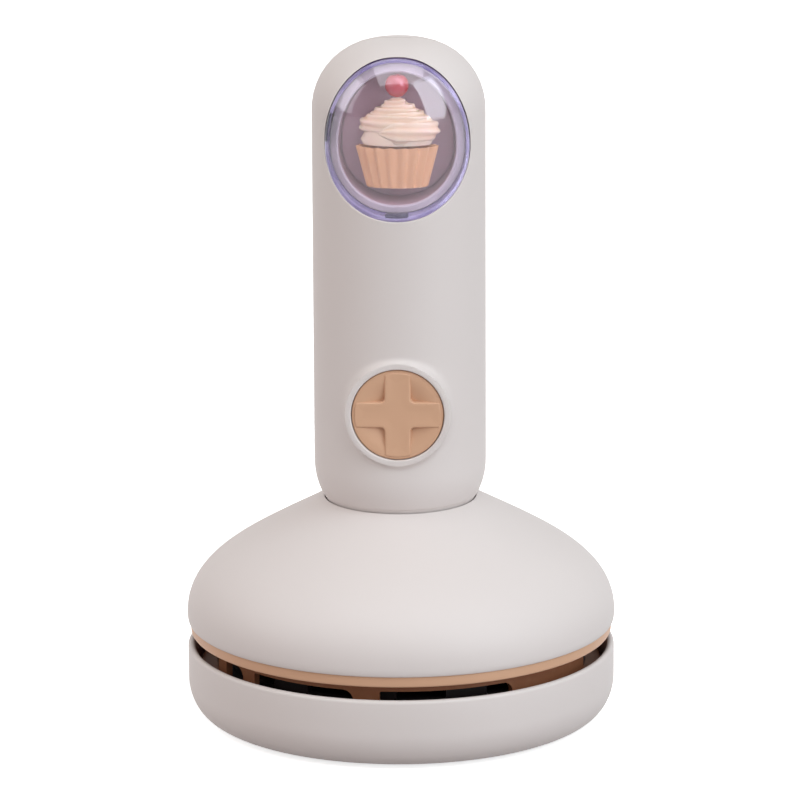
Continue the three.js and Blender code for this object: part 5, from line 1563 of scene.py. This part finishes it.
def makeScrew(node, plan):
    low, high = boxOf(node)
    size, middle = high - low, (low + high) / 2
    axis = max(range(3), key=lambda n: size[n])
    a, b = [n for n in range(3) if n != axis]
    spots = []  # how far along the axis each corner of the solid is, and how far off it
    for vertex in cadNodes[node].data.vertices:
        place = vertex.co / mm
        spots.append((place[axis], math.hypot(place[a] - middle[a], place[b] - middle[b])))
    head = max(reach for along, reach in spots)
    wide = [along for along, reach in spots if reach > head - 0.05]
    shank = min(reach for along, reach in spots if reach > 0.3)
    headFirst = abs(sum(wide) / len(wide) - low[axis]) < abs(sum(wide) / len(wide) - high[axis])
    thick, length = max(wide) - min(wide), size[axis]
    profile = [(0, 0.1), (head * 0.5, 0.0), (head * 0.8, thick * 0.12), (head * 0.95, thick * 0.4),
               (head, thick * 0.75), (head, thick), (shank, thick)]
    along = thick + 0.5
    while along < length - 0.9:
        profile += [(shank, along), (shank - plan.threadDepth, along + plan.pitch / 2)]
        along += plan.pitch
    profile += [(shank - 0.05, length - 0.6), (shank * 0.45, length), (0, length)]
    made = turnedObject(node.replace("_", ""), profile, plan.segments)
    reach, half = head * plan.recessReach, plan.recessWidth / 2
    for x, y in ((half, reach), (reach, half)):
        combine(made, newBlock((-x, -y, -1), (x, y, plan.recessDepth), 0.06))
    for vertex in made.data.vertices:
        local, place = vertex.co / mm, Vector(middle)
        place[a] += local.x
        place[b] += local.y
        place[axis] = low[axis] + local.z if headFirst else high[axis] - local.z
        vertex.co = place * mm
    cleanMesh(made, 0.0005)
    finishPiece(made, node, sharp=40)


# Boards with their small parts, and the plugs; a part is its x, z and half sizes
boardPlan = planOf(
    edge=0.3, screwHole=1.3, partRise=0.7, pinPitch=1.27, pinStart=0.95, pinRadius=0.2, plugSlot=0.8,
    parts=((-8.0, 70.5, 1.0, 2.0), (-8.0, 75.0, 1.0, 2.0), (8.0, 72.0, 1.0, 2.0), (8.2, 78.5, 0.8, 1.6),
           (-8.2, 84.0, 0.8, 1.6), (-5.2, 99.5, 0.8, 1.6), (6.2, 102.0, 1.0, 2.0), (6.2, 106.5, 0.8, 1.6)))


def makeBoards(plan):
    low, high = boxOf("control_board")
    board = freshObject("controlBoard", newBlock(low, high, plan.edge, 3))
    holes = meshSketch()
    for node in numbered("board_screw", 2):
        x, _, z = middleOf(node)
        plainRod(holes, plan.screwHole, x, z, low.y - 1, high.y + 1, 24)
    combine(board, holes)
    finishPiece(board, "control_board")
    finishPiece(freshObject("chargeBoard", newBlock(*boxOf("charge_board"), plan.edge, 3)), "charge_board")
    bodies, pins, front = meshSketch(), meshSketch(), low.y
    for x, z, halfX, halfZ in plan.parts:
        wide, tall = halfX * 0.7, halfZ * 0.62
        softBlock(bodies, (x - wide, front - plan.partRise, z - tall), (x + wide, front, z + tall), 0.1)
        for side in (-1, 1):
            foot, top = sorted((z + side * halfZ * 0.6, z + side * halfZ))
            softBlock(pins, (x - wide, front - plan.partRise * 0.9, foot), (x + wide, front, top), 0.08)
    chipLow, chipHigh = boxOf("controller_chip")
    for n in range(5):
        z = chipLow.z + plan.pinStart + n * plan.pinPitch
        for side, edge in ((-1, chipLow.x), (1, chipHigh.x)):
            tubeAlong(pins, [(edge + side * out, y, z) for out, y in (
                (-0.2, chipLow.y + 0.6), (0.3, chipLow.y + 0.6), (0.5, chipHigh.y - 0.15), (0.9, chipHigh.y - 0.15))],
                plan.pinRadius, 8)
    finishPiece(freshObject("boardParts", bodies), slot="dark_plastic")
    finishPiece(freshObject("boardPins", pins), slot="screw_steel")
    finishPiece(freshObject("controlChip", newBlock(chipLow, chipHigh, 0.25, 3)), "controller_chip")
    for name, node in (("motorPlug", "motor_plug"), ("cellPlug", "cell_plug")):
        low, high = boxOf(node)
        plug = freshObject(name, newBlock(low, high, 0.3, 3))
        combine(plug, newBlock((low.x + plan.plugSlot, low.y - 1, high.z - 0.7),
                               (high.x - plan.plugSlot, low.y + 0.5, high.z + 1), 0.1))
        finishPiece(plug, node)


# Neck plate, and the switch with its stem and spring
neckPlan = planOf(segments=128, wireHole=5.0, screwHole=1.2, rounding=0.4)
switchPlan = planOf(nibRadius=1.75, nibEdge=0.25, nibRise=0.9, wire=0.35, turns=5.0, steps=150, deadShare=0.12)


def makeNeckPlate(plan):
    low, high = boxOf("neck_plate")
    neck = turnedObject("neckPlate", softened([
        (plan.wireHole, low.z), (high.x, low.z), (high.x, high.z), (plan.wireHole, high.z)], plan.rounding),
        plan.segments)
    drillHoles(neck, [(node, plan.screwHole) for node in numbered("neck_screw", 2)], low.z - 1, high.z + 1, 24)
    finishPiece(neck, "neck_plate", sharp=30)


def makeSwitchHousing(plan):
    low, high = boxOf("tact_switch")
    x, _, z = middleOf("tact_switch")
    nib, edge = plan.nibRadius, plan.nibEdge
    housing = freshObject("switchHousing", newBlock((low.x, low.y + plan.nibRise, low.z), tuple(high), 0.25, 3))
    combine(housing, rodAlongY(meshSketch(), [
        (0, low.y), (nib - edge, low.y), (nib, low.y + edge), (nib, low.y + 1.5), (0, low.y + 1.5)], 32, x, z), "UNION")
    finishPiece(housing, "tact_switch")


def makeStemAndSpring(plan):
    low, high = boxOf("switch_stem")
    x, _, z = middleOf("switch_stem")
    outline = softened([(0, low.y, 0), (high.x, low.y, 0.3), (high.x, high.y, 0.3), (0, high.y, 0)])
    finishPiece(freshObject("switchStem", rodAlongY(meshSketch(), outline, 32, x, z)), "switch_stem", "button")
    low, high = boxOf("button_spring")
    x, _, z = middleOf("button_spring")
    wire, radius, path = plan.wire, high.x - plan.wire, []
    for n in range(plan.steps + 1):
        share = n / plan.steps
        lead = clamp((share - plan.deadShare) / (1 - 2 * plan.deadShare))
        turn = 2 * math.pi * plan.turns * share
        path.append((x + radius * math.cos(turn), low.y + wire + (high.y - low.y - 2 * wire) * lead,
                     z + radius * math.sin(turn)))
    finishPiece(freshObject("returnSpring", tubeAlong(meshSketch(), path, wire, 10)), "button_spring")


def makeCell():
    low, high = boxOf("battery_cell")
    foot, top, radius = low.z, high.z, (high.x - low.x) / 2
    finishPiece(turnedObject("cellSleeve", softened([
        (0, foot + 0.4, 0), (radius - 2.2, foot + 0.4, 0.1), (radius - 2, foot, 0.3), (radius, foot, 0.8),
        (radius, top - 3.4, 0.4), (radius - 0.35, top - 3.0, 0.3), (radius - 0.35, top - 2.2, 0.3),
        (radius, top - 1.8, 0.4), (radius, top, 0.7), (radius - 2.4, top, 0.3), (radius - 2.8, top - 0.5, 0.2),
        (4.3, top - 0.5, 0.2), (3.6, top, 0.2), (0, top, 0)], steps=4), 96, middleOf("battery_cell")),
        "battery_cell", sharp=30)


makeFilterFrame(filterFramePlan)
makeInletPlate(fanPlan)
makeOutletRing(fanPlan)
makeFanWheel(fanPlan)
makeMotorSeat(motorPlan)
makeMotor(motorPlan)
for name in slotOf:
    if "_screw" in name:
        makeScrew(name, screwPlan)
makeBoards(boardPlan)
makeSwitchHousing(switchPlan)
makeNeckPlate(neckPlan)
makeStemAndSpring(switchPlan)
makeCell()
print("stage: filter frame, fan, motor, screws and boards made")
